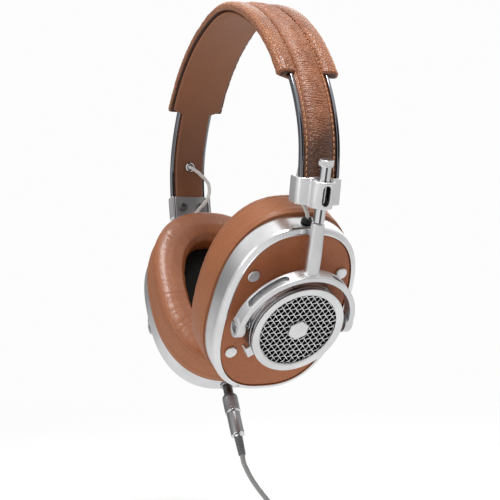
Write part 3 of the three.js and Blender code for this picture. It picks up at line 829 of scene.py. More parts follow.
def roll_shape(side):
    def shape(run, y, out):
        from_end = min(run - ROLL_0, ROLL_1 - run)
        size = 1.0
        if from_end < 0.9:
            size = 0.62 + 0.38 * math.sqrt(max(0.0, 1 - (1 - from_end / 0.9) ** 2))
        cuff = 0.035 / (1 + math.exp((from_end - 3.2) * 5))
        cuff_crease = -0.07 * math.exp(-((from_end - 3.6) / 0.4) ** 2)
        size = size * (1 + cuff + cuff_crease)
        a = np.arctan2(out - ROLL_CENTRE[1], y - ROLL_CENTRE[0])
        wander = run / STITCH_PITCH + 0.2 * value_noise(run / 8, 3 * side)
        pucker = 0.12 * np.exp(-((a - 2.4) / 0.6) ** 2) * np.cos(2 * math.pi * wander)
        hem = (-0.28 * np.exp(-((a - HEM_ANGLE) / 0.11) ** 2)
               + 0.06 * np.exp(-((a - HEM_ANGLE - 0.3) / 0.16) ** 2)
               * np.cos(2 * math.pi * run / STITCH_PITCH))
        skin = (0.10 * value_noise(run / 1.5 + 9 * side, 4.0 * a)
                + 0.07 * value_noise(run / 0.8, 7 * a + 5)
                + 0.10 * value_noise(run / 6, 1.5 * a + 11))
        scale = size + (pucker + hem + skin) / 3.4
        y = ROLL_CENTRE[0] + (y - ROLL_CENTRE[0]) * scale
        out = ROLL_CENTRE[1] + (out - ROLL_CENTRE[1]) * scale
        return side * y, np.maximum(out, 1.95)
    return shape


def side_roll(end, side):
    """stuffed leather tube round the rail; the face against the lining takes a darker copy of the
    leather, painted shade.
    """
    sweep = band_sweep(ROLL_SECTION, ROLL_0, ROLL_1, 0.4, roll_shape(side))
    mesh = mesh_of(f"side_roll_{end}", [sweep], sharp=60)
    column = np.array([p.vertices[0] % len(ROLL_SECTION) for p in mesh.polygons])
    # painted shade on the faces against the lining
    return two_tone(mesh, band_leather, underside_shade_leather, (ROLL_SECTION[:, 1] < 2.25)[column])


RAIL_SECTION = fillet([[8.3, 2.1], [9.8, 2.1], [9.8, 5.2], [8.3, 5.2]], 0.42)
for end, side in ENDS:
    place(f"side_roll_leather_{end}", side_roll(end, side), band_leather, "band_leather",
          node=f"side_roll_{end}")
    rail = band_sweep(RAIL_SECTION * [side, 1], STRAP_0, STRAP_1, 1.5)
    place(f"rail_bar_{end}", mesh_of(f"rail_{end}", [rail], sharp=30), rail_steel, "rail_steel",
          node=f"rail_{end}")

# ------------------------------------------------------------------ lining
LINING_T, LINING_MID = 1.78, 0.9


def lining_shape(run, y, out):
    """wide under the rolls, narrow below them, with a turned edge; y comes as -1 to 1."""
    t = min(1.0, max(0.0, (min(run - ROLL_0, ROLL_1 - run) + 0.4) / 3.0))
    half = 8.0 + 5.7 * t * t * (3 - 2 * t)
    from_edge = (1 - np.abs(y)) * half
    rim = np.sqrt(1 - (1 - np.clip(from_edge / 0.9, 0, 1)) ** 2)
    hem = 0.16 * np.exp(-((from_edge - 1.9) / 0.3) ** 2)
    wrinkle = 0
    for i in range(12):
        bend = 0.9 * np.sin(y * half * 0.33 + PHASE[i + 12])
        wrinkle = wrinkle + (math.cos(PHASE[i]) * np.sin(run * (0.35 + 0.23 * i) + PHASE[i] + bend)
                             / (1 + 0.35 * i))
    out = np.where(out > LINING_MID, LINING_MID + 0.88 * rim,
                   LINING_MID - (LINING_MID - hem) * rim) + 0.012 * wrinkle
    return y * half, np.maximum(out, 0.0)


def lining():
    y = np.linspace(-1, 1, 41)
    section = np.vstack([np.stack([y, 0 * y], 1), np.stack([y[::-1], 0 * y + LINING_T], 1)])
    sweep = band_sweep(section, STRAP_0, STRAP_1, 1.2, lining_shape)
    return mesh_of("lining", [sweep], sharp=70, weld=0.001)


place("lining_leather_band", lining(), lining_leather, "lining_leather", node="headband_lining")

# ------------------------------------------------------------------ stitches
STITCH_RISE = 0.42
STITCH_WOBBLE = 0.06
EDGE_STITCH_Y = 6.75


def stitches(name, start, end, thread_r, draws, lay):
    """crowned threads in a row; lay(centre, run, t, rise, drift) gives a thread's path.

    Each thread drifts sideways by the last of its random draws."""
    t = np.linspace(-0.5, 0.5, 7)
    rise = STITCH_RISE * np.clip(np.cos(t * math.pi), 0, 1) ** 0.7
    parts = []
    for i in range(int((end - start) / STITCH_PITCH)):
        centre = start + (i + 0.5) * STITCH_PITCH
        drift = rng.normal(0, STITCH_WOBBLE, draws)[-1]
        path = lay(centre, centre + t * STITCH_PITCH * 0.80, t, rise, drift)
        parts.append(tube(path, thread_r * np.cos(t * math.pi * 0.72) ** 0.5, 8))
    return mesh_of(name, parts, sharp=80, outward=False)


def edge_stitches(end, side):
    def lay(centre, run, t, rise, drift):
        y = EDGE_STITCH_Y * side + drift
        top = cover_top(np.full(7, abs(y)), centre)
        return on_band(run, y + 0.10 * t, top - 0.22 + rise)
    return stitches(f"stitches_{end}", STRAP_0 + 3, STRAP_1 - 3, 0.31, 1, lay)


def hem_stitches(end, side):
    def lay(centre, run, t, rise, drift):
        reach = HEM_R - 0.36 + rise
        y = side * (ROLL_CENTRE[0] + reach * math.cos(HEM_ANGLE)) + drift
        return on_band(run, y, ROLL_CENTRE[1] + reach * math.sin(HEM_ANGLE))
    return stitches(f"hem_{end}", ROLL_0 + 1.5, ROLL_1 - 1.5, 0.28, 2, lay)


for end, side in ENDS:
    place(f"edge_stitches_{end}", edge_stitches(end, side), thread, "band_leather",
          body="headband")
    place(f"hem_stitches_{end}", hem_stitches(end, side), thread, "band_leather",
          body="headband")

# ------------------------------------------------------------------ bracket and its fittings
BRACKET_TO_AXIS = inverse(FRAMES["right"]["axis"]) @ FRAMES["right"]["bracket"]


def d_bracket(p):
    x, y, z = p.T
    post_x, post_y, post_z = at(BRACKET_TO_AXIS, p).T
    around = length(post_x, post_y)

    def channel(inner, outer, half, corner_r):
        """rectangle in (x, y) whose two outer corners are round."""
        cx, cy = x - (outer - corner_r), np.abs(y) - (half - corner_r)
        corner = np.where((cx > 0) & (cy > 0), length(cx, cy), np.maximum(cx, cy)) - corner_r
        return np.maximum(corner, inner - x)

    # body, block and post barrel
    body = channel(inner=-2.2, outer=7.7, half=11.3, corner_r=4.4)
    d = d_rod(body, z, radius=0, start=-6.2, end=6.2, edge=0.5)
    d = join(d, d_box(p, (6.2, -4.6, -4.6), (10.5, 4.6, 5.4), edge=0.9), 1.2)
    d = join(d, d_rod(around, post_z, radius=5.3, start=18.2, end=30.9, edge=0.6), 2.4)
    # strap channel, post bore, wider chamber and the slot in its outer side
    d = cut(d, channel(inner=-6, outer=6.2, half=10.1, corner_r=2.2), 0.2)
    d = cut(d, d_rod(around, post_z, radius=3.0, start=0, end=50), 0.35)
    d = cut(d, d_rod(around, post_z, radius=4.25, start=19.7, end=29.7), 0.2)
    window_half = 1.9
    window = d_slot(post_z, post_y, 20.0 + window_half, 29.4 - window_half, window_half)
    d = cut(d, np.maximum(window, 2.0 - post_x), 0.2)
    for hole_y in (-CLAMP_SCREW_Y, CLAMP_SCREW_Y):
        d = cut(d, d_rod(length(y - hole_y, z), x, radius=1.4, start=3, end=7.1), 0.1)
    return d


def d_clamp_screw(p):
    """screw head along x with a hexagonal socket."""
    x, y, z = p.T
    radial = length(y, z)
    head_top, socket_depth, socket_half = 3.1, 0.6, 0.95
    d = d_rod(radial, x, radius=2.2, start=2.1, end=head_top, edge=0.28)
    a = np.mod(np.arctan2(z, y), math.pi / 3) - math.pi / 6
    socket = np.maximum(radial * np.cos(a) - socket_half, (head_top - socket_depth) - x)
    return cut(d, socket, 0.12)


def lifted(x, outline):
    """a (y, z) outline at x."""
    return np.c_[np.broadcast_to(x, len(outline)), outline]


bracket_mesh = nets("bracket", d_bracket, (-2.2, -11.3, -7.5), (15.5, 11.3, 8.5), 0.26)
clamp_screw_mesh = nets("clamp_screw", d_clamp_screw, (2.0, -2.3, -2.3), (3.2, 2.3, 2.3), 0.12)
plate = fillet([[-9.4, -6.0], [9.4, -6.0], [9.4, 6.0], [-9.4, 6.0]], 1.2, steps=5)
PLATE_LAYERS = ((-1.8, 0.975), (-1.65, 1.0), (-0.75, 1.0), (-0.6, 0.98))  # x, scale
plate_mesh = mesh_of("clamp_plate", [loft([lifted(x, plate * k) for x, k in PLATE_LAYERS])],
                     sharp=25)

# Turned profiles from here on: radius, height, fillet
pivot_screw_mesh = turned("pivot_screw", [
    [0, 29.62, 0], [2.75, 29.62, 0.1], [2.85, 29.8, 0.1], [2.8, 30.25, 0.2],
    [2.45, 30.45, 0.15], [2.05, 30.32, 0.15], [1.0, 30.1, 0.3], [0, 30.08, 0],
], 72, "x", sharp=45, steps=5)
eyelet_mesh = turned("eyelet", [
    [1.45, 1.6, 0.1], [1.75, 1.6, 0.1], [1.75, -0.8, 0.1], [2.65, -0.8, 0.15],
    [2.6, -1.35, 0.3], [2.1, -1.6, 0.2], [1.45, -1.5, 0.25],
], 40, "x", closed=True)

# ------------------------------------------------------------------ post and its knurled cap
POST_R = 2.7


def post():
    """ground rod with engraved marks, every fourth one deeper."""
    rows = [[0, 11.2], [2.45, 11.2], [POST_R, 11.45]]
    for i in range(8):
        mark = 19.5 + 1.5 * i
        floor_r = POST_R - (0.10 if i % 4 else 0.16)
        rows += [[POST_R, mark - 0.16], [floor_r, mark - 0.05], [floor_r, mark + 0.05],
                 [POST_R, mark + 0.16]]
    rows += [[POST_R, 37.3], [2.6, 37.45], [1.4, 37.5], [1.4, 39.6], [0, 39.6]]
    return turned("post", rows, 64, "z", sharp=28, radius=0)


def knurl(r, h, a):
    band = ((h > 38.05) & (h < 39.8) & (r > 3.1)).astype(float)
    return r - band * 0.22 * (0.5 + 0.5 * np.cos(36 * a)) + 0.05 * band


post_mesh = post()
post_cap_mesh = turned("post_cap", [
    [0, 37.5, 0], [3.3, 37.5, 0.1], [3.5, 37.7, 0.05], [3.5, 37.95, 0.03], [3.42, 38.1, 0.03],
    [3.42, 39.75, 0.03], [3.5, 39.9, 0.03], [3.5, 40.3, 0.1], [3.2, 40.65, 0.15], [0, 40.72, 0],
], 336, "z", steps=3, ripple=knurl)

# ------------------------------------------------------------------ yoke
FORK_TO_YOKE = inverse(FRAMES["right"]["yoke"]) @ FRAMES["right"]["fork"]
YOKE_R, YOKE_MID_R, YOKE_MID_X = 30.5, 29.1, 2.6


def d_yoke(p):
    x, y, z = p.T
    radial, aside = length(y, z), np.abs(y)
    # half ring
    d = d_rod(np.abs(radial - YOKE_MID_R), x, radius=1.4, start=-0.8, end=6.0, edge=0.5)
    d = cut(d, z + 1.5, 0.4)
    # stem up to the post, swelling where it meets the ring
    stem_x, stem_y, stem_z = at(FORK_TO_YOKE, p).T
    swell = 0.55 * np.exp(-((stem_z + 5.0) / 11.0) ** 2)
    d = join(d, d_rod(length(stem_x, stem_y) - swell, stem_z, radius=3.05, start=-13.0, end=10.9,
                      edge=0.6), 1.3)
    # pivot bosses at both ends
    d = join(d, d_rod(length(x - 2.3, (z + 1.2) * 0.88), aside, radius=4.1, start=26.6, end=30.5,
                      edge=0.35), 1.2)
    # slots along the outside of the ring
    angle = np.degrees(np.arctan2(z, -aside))
    degree = math.radians(1) * YOKE_R
    slot = d_slot(np.radians(angle) * YOKE_R, x - YOKE_MID_X, 116.0 * degree, 152.0 * degree, 1.85)
    d = cut(d, np.maximum(slot, 28.9 - radial), 0.2)
    # room for the drum, pivot holes and the recesses round their screws
    d = cut(d, radial - 26.6, 0.3)
    d = cut(d, length(x, z) - 1.5, 0.15)
    return cut(d, d_rod(length(x - 2.1, z + 0.9), aside, radius=3.05, start=29.6, end=33.0,
                        edge=0.05), 0.12)


def yoke():
    mesh = nets("yoke", d_yoke, (-11.5, -31.2, -6.5), (7.2, 31.2, 53.5), 0.31)
    x, y, z = (np.array([p.center for p in mesh.polygons]) / MM).T
    radial, angle = length(y, z), np.degrees(np.arctan2(z, -np.abs(y)))
    # painted shade: the slots' floors take the darker metal
    pocket = ((radial > 28.6) & (radial < 30.2) & (angle > 112) & (angle < 156)
              & (np.abs(x - YOKE_MID_X) < 2.0))
    return two_tone(mesh, yoke_metal, slot_shade_metal, pocket)


yoke_mesh = yoke()


# ------------------------------------------------------------------ cup frame, face, studs
def superellipse(t, a, b, power):
    c, s = np.cos(t), np.sin(t)
    return np.stack([a * np.sign(c) * np.abs(c) ** (2 / power),
                     b * np.sign(s) * np.abs(s) ** (2 / power)], -1)


def even_angles(count, outline):
    """parameters that space points evenly round an outline."""
    t = np.linspace(0, 2 * math.pi, 20001)
    steps = np.linalg.norm(np.diff(superellipse(t, *outline), axis=0), axis=1)
    run = np.r_[0, np.cumsum(steps)]
    return np.interp(np.linspace(0, run[-1], count, endpoint=False), run, t)


def ring_between(fraction, x, start, end, angles):
    a, b = superellipse(angles, *start), superellipse(angles, *end)
    return lifted(x, a + (b - a) * fraction)


CUP_ANGLES = even_angles(288, CUP_OUTLINE)
FRAME_WIDTH = 3.6


def cup_frame():
    """hollow oval with a raised, brighter lip."""
    # inward from the outer wall, x, fillet
    rows = fillet([
        [0.18, WALL_X, 0], [0.0, WALL_X + 0.25, 0.1], [0.0, -8.3, 0.7], [0.45, -7.15, 0.5],
        [2.75, LIP_X - 0.32, 0.12], [2.9, LIP_X, 0.14], [3.45, LIP_X, 0.18],
        [FRAME_WIDTH, LIP_X - 0.45, 0.15], [FRAME_WIDTH, WALL_X, 0]], steps=5)
    rings = [ring_between(f, x, CUP_OUTLINE, CUP_OPENING, CUP_ANGLES)
             for f, x in rows / [FRAME_WIDTH, 1]]
    mesh = mesh_of("cup_frame", [loft(rings, close_rings=True)], sharp=32)
    return two_tone(mesh, aluminium, lip_metal, [p.center.x > -7.2 * MM for p in mesh.polygons])


def face_plate():
    """leather over a plate, dipped under the studs, its edge turned down."""
    half_y, half_z, power = FACE_OUTLINE
    rings = []
    for scale in np.r_[np.linspace(0.02, 0.9, 14), 0.93, 0.955, 0.975, 0.99, 1.0]:
        outline = superellipse(CUP_ANGLES, half_y * scale, half_z * scale, power)
        drop = 0.4 * max(0.0, (scale - 0.95) / 0.05) ** 2
        x = FACE_X - drop - 0.02 * np.sin(9 * CUP_ANGLES + 3) * scale
        for y in (-STUD_Y, STUD_Y):
            for z in (-STUD_Z, STUD_Z):
                reach = np.hypot(outline[:, 0] - y, outline[:, 1] - z)
                x = x - 0.16 * np.exp(-(reach / 3.6) ** 4)
        rings.append(lifted(x, outline))
    rings.append(lifted(FACE_X - FACE_T, superellipse(CUP_ANGLES, *FACE_OUTLINE)))
    return mesh_of("face_plate", [loft(rings)], sharp=60)


cup_frame_mesh = cup_frame()
face_mesh = face_plate()
stud_mesh = turned("face_stud", [
    [0, -1.0, 0], [1.0, -1.0, 0.05], [1.0, -0.1, 0.05], [2.6, -0.1, 0.1], [3.0, 0.2, 0.15],
    [3.0, 0.8, 0.2], [2.7, 1.15, 0.25], [1.2, 1.22, 0.5], [0, 1.24, 0],
], 56, "x", level=FACE_X)


# ------------------------------------------------------------------ drum, bezel, grille, badge
def drum():
    """barrel with a groove and a recessed front, and a collared pivot at each end of y."""
    groove_r, recess_r = DRUM_R - 0.22, DRUM_R - 2
    barrel = fillet([
        [0, FACE_X + 0.3, 0], [DRUM_R - 0.5, FACE_X + 0.3, 0.2], [DRUM_R, FACE_X + 0.75, 0.2],
        [DRUM_R, 4.6, 0.05], [groove_r, 4.75, 0.05], [groove_r, 5.0, 0.05],
        [DRUM_R, 5.15, 0.05], [DRUM_R, DRUM_FRONT, 0.2], [recess_r, DRUM_FRONT, 0.2],
        [recess_r, -4.0, 0.1], [0, -4.0, 0]], closed=False, steps=3)
    pivot = fillet([[0, 21.9, 0], [2.6, 21.9, 0], [2.6, 25.5, 0.2], [2.3, 25.78, 0.1],
                    [0, 25.78, 0]], closed=False)
    collar = fillet([[2.6, 22.6, 0.1], [3.5, 22.6, 0.3], [3.5, 23.9, 0.3], [2.6, 24.0, 0.1]])
    parts = [lathe(barrel, 160, "x")]
    for points, faces in (lathe(pivot, 48, "y"), lathe(collar, 48, "y", closed=True)):
        parts += [(points, faces), (points * [1, -1, 1], faces)]
    return mesh_of("drum", parts, sharp=32, weld=0.002)


def woven_grille():
    """plain weave of round wires, laid on the bias."""
    pitch, lie, wire_r, wave, radius, level = 2.42, math.radians(42.1), 0.29, 0.36, 20.6, 6.75
    ways = [np.array([math.cos(lie), math.sin(lie)]), np.array([math.sin(lie), -math.cos(lie)])]
    parts = []
    for way, lift in ((0, -wave), (1, wave)):
        for k in range(-8, 9):
            aside = k * pitch
            half = math.sqrt(radius ** 2 - aside ** 2)
            s = np.linspace(-half, half, int(2 * half / pitch * 8))
            x = level + lift * (1 if k % 2 == 0 else -1) * np.cos(math.pi * s / pitch)
            path = s[:, None] * ways[way] + aside * ways[1 - way]
            parts.append(tube(np.c_[x, path], wire_r, 8, up=(1, 0, 0)))
    return mesh_of("weave", parts, sharp=80, outward=False)


def badge():
    """hexagon with a raised rim."""
    corners = [math.radians(60 * i) for i in range(6)]
    hexagon = np.array([[math.cos(a), math.sin(a)] for a in corners])
    layers = ((5.1, 7.55), (5.4, 7.75), (5.4, 8.25), (5.15, 8.55), (4.8, 8.6), (4.62, 8.5),
              (4.5, 8.5), (0.3, 8.52))  # corner radius, x
    rings = [lifted(x, fillet(hexagon * r, min(0.35, r * 0.2), steps=5)) for r, x in layers]
    return mesh_of("badge", [loft(rings)], sharp=25)


def d_button(p):
    """tab on the drum wall with three grooves."""
    d = d_box(p, (1.8, -2.9, 22.75), (6.0, 2.9, 26.6), edge=0.6)
    for y in (-1.3, 0.0, 1.3):
        d = cut(d, length(p[:, 1] - y, p[:, 2] - 26.9) - 0.55, 0.15)
    return d


drum_mesh = drum()
bezel_mesh = turned("bezel", [
    [MESH_R, DRUM_FRONT + 0.3, 0.05], [DRUM_R, DRUM_FRONT + 0.3, 0.12],
    [DRUM_R, BEZEL_X - 0.2, 0.2], [DRUM_R - 0.5, BEZEL_X, 0.3], [MESH_R + 0.9, BEZEL_X, 0.3],
    [MESH_R, BEZEL_X - 0.55, 0.15],
], 192, "x", sharp=32, closed=True)
weave_mesh = woven_grille()
backing_mesh = turned("grille_backing", [
    [0, 5.2, 0], [12, 5.3, 2], [19.6, 5.6, 1], [21.2, 6.1, 0.1], [21.3, 5.2, 0.1], [0, 4.4, 0],
], 96, "x", sharp=40)
badge_mesh = badge()
button_mesh = nets("mute_button", d_button, (1.6, -3.0, 22.5), (6.2, 3.0, 26.8), 0.2)


# ------------------------------------------------------------------ inside of the cup
def driver_vents(r, h, a):
    wall = (h > -15.6) & (h < -12.2) & (r > 11.5)
    return r - 0.12 * wall * (0.5 + 0.5 * np.sign(np.cos(24 * a)))


def baffle():
    """cloth disc, domed in the middle towards the ear with faint round ribs."""
    rings = [lifted(-18.65, superellipse(CUP_ANGLES, 33.0, 45.5, 2.5))]
    for scale in np.r_[1.0, 0.985, np.linspace(0.95, 0.02, 22)]:
        outline = superellipse(CUP_ANGLES, 33.3 * scale, 45.8 * scale, 2.5)
        y, z = outline.T
        oval = length(y / 16.5, z / 27.0)
        dome = 1.7 * np.exp(-(oval / 0.8) ** 4)
        ribs = 0.10 * np.cos(length(y, z) * 0.9) * np.exp(-(oval / 0.9) ** 6)
        rings.append(lifted(-20.4 + 0.3 * (scale > 0.99) - dome + ribs, outline))
    return mesh_of("baffle_cloth", [loft(rings)], sharp=60)


driver_mesh = turned("driver", [
    [0, -11.1, 0], [11, -11.1, 0.8], [12, -12.1, 0.6], [12, -15.7, 0.6], [14, -16.2, 0.8],
    [21, -16.4, 0.2], [21, -17.8, 0.2], [18, -17.8, 0.8], [9, -16.3, 2], [0, -17.3, 0],
], 144, "x", ripple=driver_vents)
baffle_mesh = baffle()

# ------------------------------------------------------------------ ear cushion
PAD_OUTER = (CUP_Y + 0.9, CUP_Z + 1.6, 2.4)
PAD_INNER = (18.0, 31.2, 2.2)
PAD_COUNT = 104  # points round the cushion
PAD_FACE_ROWS = 24  # rings on the visible faces; the rest close the back
PAD_BACK, PAD_SEAM_X, PAD_SPAN = -20.75, -32.8, 17.0
PAD_ANGLES = even_angles(PAD_COUNT, PAD_OUTER)
# from the outer back edge, up the wall, over the roll and down into the opening:
# fraction from opening to outer wall, x, fillet
PAD_SECTION = [
    [1.0, PAD_BACK, 0], [1.0, -27.0, 2], [0.995, -33.0, 1.2], [0.95, -35.2, 2.5],
    [0.76, -36.4, 4], [0.46, -36.5, 4], [0.16, -35.0, 4], [0.01, -31.0, 4], [0.02, -24.5, 2],
    [0.12, PAD_BACK, 0]]


def pad_ring(fraction, x):
    return ring_between(fraction, x, PAD_INNER, PAD_OUTER, PAD_ANGLES)


def pad_start():
    """unpuffed cushion, its ring count and its seam ring."""
    section = even(fillet(PAD_SECTION, closed=False, steps=3) * [PAD_SPAN, 1], PAD_FACE_ROWS,
                   closed=False)
    back = np.linspace(section[-1], section[0], 6)[1:-1]
    section = np.vstack([section, back]) / [PAD_SPAN, 1]
    fraction, x = section[:PAD_FACE_ROWS].T
    seam = int(np.argmin(np.abs(x - PAD_SEAM_X) + (fraction < 0.8) * 100))
    rings = np.array([pad_ring(*row) for row in section])
    mesh = mesh_of("ear_pad_start", [loft(rings, close_rings=True)], sharp=180)
    return mesh, len(section), seam


def cloth_puff(obj, rows, seam, fixed):
    """inflate the cushion with cloth pressure, its back pinned and its seam half held."""
    pins = obj.vertex_groups.new(name="pin")
    for k in range(rows):
        ids = list(range(k * PAD_COUNT, (k + 1) * PAD_COUNT))
        if fixed[k]:
            pins.add(ids, 1.0, "REPLACE")
        elif k == seam:
            pins.add(ids, 0.55, "REPLACE")
    modifier = obj.modifiers.new("Cloth", "CLOTH")
    settings = modifier.settings
    settings.quality = 6
    settings.mass = 0.25
    settings.tension_stiffness = settings.compression_stiffness = 14
    settings.shear_stiffness = 5
    settings.bending_stiffness = 1.5
    settings.use_pressure = True
    settings.uniform_pressure_force = 4.0
    settings.vertex_group_mass = "pin"
    settings.effector_weights.gravity = 0
    modifier.collision_settings.use_collision = False
    for number in range(1, 21):
        scene.frame_set(number)
    evaluated = obj.evaluated_get(bpy.context.evaluated_depsgraph_get())
    points = np.array([v.co for v in evaluated.data.vertices]) / MM
    obj.modifiers.remove(modifier)
    scene.frame_set(1)
    return points


def puffed_pad():
    mesh, rows, seam = pad_start()
    start = np.array([v.co for v in mesh.vertices]) / MM
    row = np.arange(rows)
    fixed = (row == 0) | (row >= PAD_FACE_ROWS - 1)
    obj = add_object("ear_pad_sim", mesh)
    shift = cloth_puff(obj, rows, seam, fixed) - start
    far = np.linalg.norm(shift, axis=1)[:, None]
    # the wall may move less than the roll
    limit = np.repeat(np.where(row < seam, 0.6, 3.0), PAD_COUNT)[:, None]
    points = start + shift * np.minimum(1, limit / np.maximum(far, 1e-6))
    bpy.data.objects.remove(obj)
    grid = points.reshape(rows, PAD_COUNT, 3)
    grid[..., 0] = np.clip(grid[..., 0], -37.0, -20.72)
    return grid, seam


def refine(grid):
    """Catmull-Rom subdivision of a closed grid, twice as fine each way."""
    for axis in (0, 1):
        a, c, d = (np.roll(grid, shift, axis) for shift in (1, -1, -2))
        middle = (-a + 9 * grid + 9 * c - d) / 16
        shape = list(grid.shape)
        shape[axis] *= 2
        grid = np.stack([grid, middle], axis + 1).reshape(shape)
    return grid


def ear_pad():
    grid, seam = puffed_pad()
    grid = refine(refine(grid))
    fine = 4  # refined rings for each simulated one
    rows, count = grid.shape[:2]
    seam_row = seam * fine
    normal = np.cross(np.roll(grid, -1, 0) - np.roll(grid, 1, 0),
                      np.roll(grid, -1, 1) - np.roll(grid, 1, 1))
    normal /= np.linalg.norm(normal, axis=2)[..., None] + 1e-9
    core = np.repeat(pad_ring(0.5, -28.5), fine, axis=0)[None]
    normal *= np.sign(((grid - core) * normal).sum(2).mean())

    # seam groove with puckers beside it, and wrinkles that grow towards the opening
    row = np.arange(rows)[:, None]
    around = 2 * math.pi * np.arange(count)[None, :] / count
    from_seam = np.abs(((row - seam_row + rows / 2) % rows) - rows / 2)
    groove = np.exp(-(from_seam / 1.2) ** 2) * 0.30
    pucker = np.exp(-((from_seam - 3.2) / 2.6) ** 2) * (
        0.05 * np.cos(around * 84) + 0.05 * np.cos(around * 31 + 1.0))
    wrinkle = 0
    for i in range(7):
        bend = 0.5 * np.sin(row * 0.11 + PHASE[i + 7])
        wrinkle = wrinkle + (0.05 * np.sin(around * (17 + 13 * i) + PHASE[i] + bend)
                             / (1 + 0.25 * i))
    visible = row < (PAD_FACE_ROWS - 1) * fine
    top = np.clip((row - seam_row) / 10.0, 0, 1) * visible
    inner = np.clip((row - 13 * fine) / 16.0, 0, 1) * visible
    grid = grid + normal * (-groove + pucker + wrinkle * (0.55 * top + 1.1 * inner))[..., None]
    grid[..., 0] = np.clip(grid[..., 0], -37.2, -20.7)

    # the wall runs on as a thin skirt round the baffle, up to the cup frame
    upper, upper_in = grid[0].copy(), grid[0] * [1, 0.947, 0.947]
    lower_in = upper_in.copy()
    upper[:, 0] = upper_in[:, 0] = WALL_X - 0.12
    lower_in[:, 0] = PAD_BACK + 0.03
    grid = np.concatenate([grid, lower_in[None], upper_in[None], upper[None]])
    mesh = mesh_of("ear_pad", [loft(grid, close_rings=True)], sharp=62)
    ring = np.array([p.vertices[0] // count for p in mesh.polygons])
    return two_tone(mesh, pad_leather, pad_wall_leather, (ring < seam_row) | (ring >= rows - 1))


pad_mesh = ear_pad()

# ------------------------------------------------------------------ cable fittings
grommet_mesh = turned("grommet", [
    [1.25, -3.6, 0.1], [1.6, -3.6, 0.1], [1.6, 0.35, 0.1], [2.75, 0.35, 0.25], [2.75, 0.9, 0.2],
    [2.3, 1.3, 0.2], [2.0, 1.5, 0.1], [2.2, 1.9, 0.2], [1.9, 2.4, 0.2], [1.25, 2.4, 0.1],
], 48, "z", closed=True, level=CUP_Z)

# jack and plug, with heights measured from the bottom of the cup
socket_mesh = turned("jack_socket", [
    [1.95, 13.4, 0.1], [2.9, 13.4, 0.1], [2.9, -0.3, 0.05], [3.6, -0.3, 0.1], [3.6, -0.9, 0.2],
    [1.95, -0.9, 0.1],
], 56, "z", closed=True, level=CUP_BOTTOM)
pin_mesh = turned("plug_pin", [
    [0, 12.8], [1.1, 12.5], [1.65, 11.2], [1.2, 10.4], [1.65, 9.8], [1.65, 6.2], [1.6, 6.1],
    [1.6, 5.8], [1.65, 5.7], [1.65, 2.4], [1.6, 2.3], [1.6, 2.0], [1.65, 1.9], [1.65, -1.2],
    [0, -1.2],
], 48, "z", radius=0.1, level=CUP_BOTTOM)
collar_mesh = turned("plug_collar", [
    [0, -1.25, 0], [2.5, -1.25, 0.25], [2.5, -6.4, 0.3], [3.55, -6.9, 0.3], [3.9, -7.6, 0.2],
    [3.9, -8.0, 0.1], [0, -8.0, 0],
], 72, "z", level=CUP_BOTTOM)


def barrel_ribs(r, h, a):
    ribbed = (h < CUP_BOTTOM - 9.0) & (h > CUP_BOTTOM - 15.6) & (r > 3.8)
    return r - 0.10 * ribbed * (0.5 + 0.5 * np.cos(36 * a))


def plug_barrel():
    """ribbed barrel; close pairs of rings keep the ends of the ribs crisp."""
    profile = fillet([
        [0, CUP_BOTTOM - 8.0, 0], [3.95, CUP_BOTTOM - 8.05, 0.15], [4.0, CUP_BOTTOM - 8.4, 0.1],
        [4.0, CUP_BOTTOM - 16.2, 0.15], [0, CUP_BOTTOM - 16.2, 0]], closed=False)
    pairs = [[4.0, CUP_BOTTOM - down] for down in (8.98, 9.02, 15.58, 15.62)]
    profile = np.vstack([profile, pairs])
    profile = profile[np.argsort(-profile[:, 1], kind="stable")]
    return turned("plug_barrel", profile, 216, "z", radius=0, ripple=barrel_ribs)


def cable_boot():
    """tapered sleeve of six stepped ribs."""
    rows = [[0, -31.3]]
    for i in range(6):
        top, r = -31.4 - 1.6 * i, 2.15 - 0.05 * i
        rows += [[r, top], [r, top - 1.1], [r - 0.28, top - 1.2], [r - 0.28, top - 1.5]]
    rows += [[1.8, -41.0], [1.3, -41.2], [0, -41.2]]
    return turned("cable_boot", rows, 48, "z", radius=0.08, steps=2, level=CUP_BOTTOM)


barrel_mesh = plug_barrel()
plug_ring_mesh = turned("plug_ring", [
    [0, -16.2, 0], [4.05, -16.2, 0.12], [4.05, -16.75, 0.15], [3.5, -17.05, 0.1], [0, -17.05, 0],
], 72, "z", level=CUP_BOTTOM)
sleeve_mesh = turned("plug_sleeve", [
    [0, -17.0, 0], [3.5, -17.05, 0.1], [3.5, -29.2, 0.1], [0, -29.2, 0],
], 72, "z", level=CUP_BOTTOM)
end_ring_mesh = turned("plug_end_ring", [
    [0, -29.2, 0], [3.56, -29.2, 0.12], [3.56, -29.9, 0.2], [2.35, -30.25, 0.1],
    [2.3, -31.2, 0.1], [0, -31.2, 0],
], 72, "z", level=CUP_BOTTOM)
boot_mesh = cable_boot()

# ------------------------------------------------------------------ link cables
# bow: how far four points swing to -y of the side; lean and shifts: the way into the cup
LINKS = {
    "right": dict(bow=(1.8, 3.7, 5.4, 6.3), lean=-1.8, shifts=(-6.1, -1.3)),
    "left": dict(bow=(4.2, 8.8, 7.6, 0.8), lean=0.0, shifts=(-2.4, -0.6)),
}
LINK_R = 0.95
# path samples where each piece starts and ends, then a bend start and a bend end for each
LINK_PIECES = ((0, 92, 14, 92), (92, 166, 92, 166), (166, 240, 166, 222))


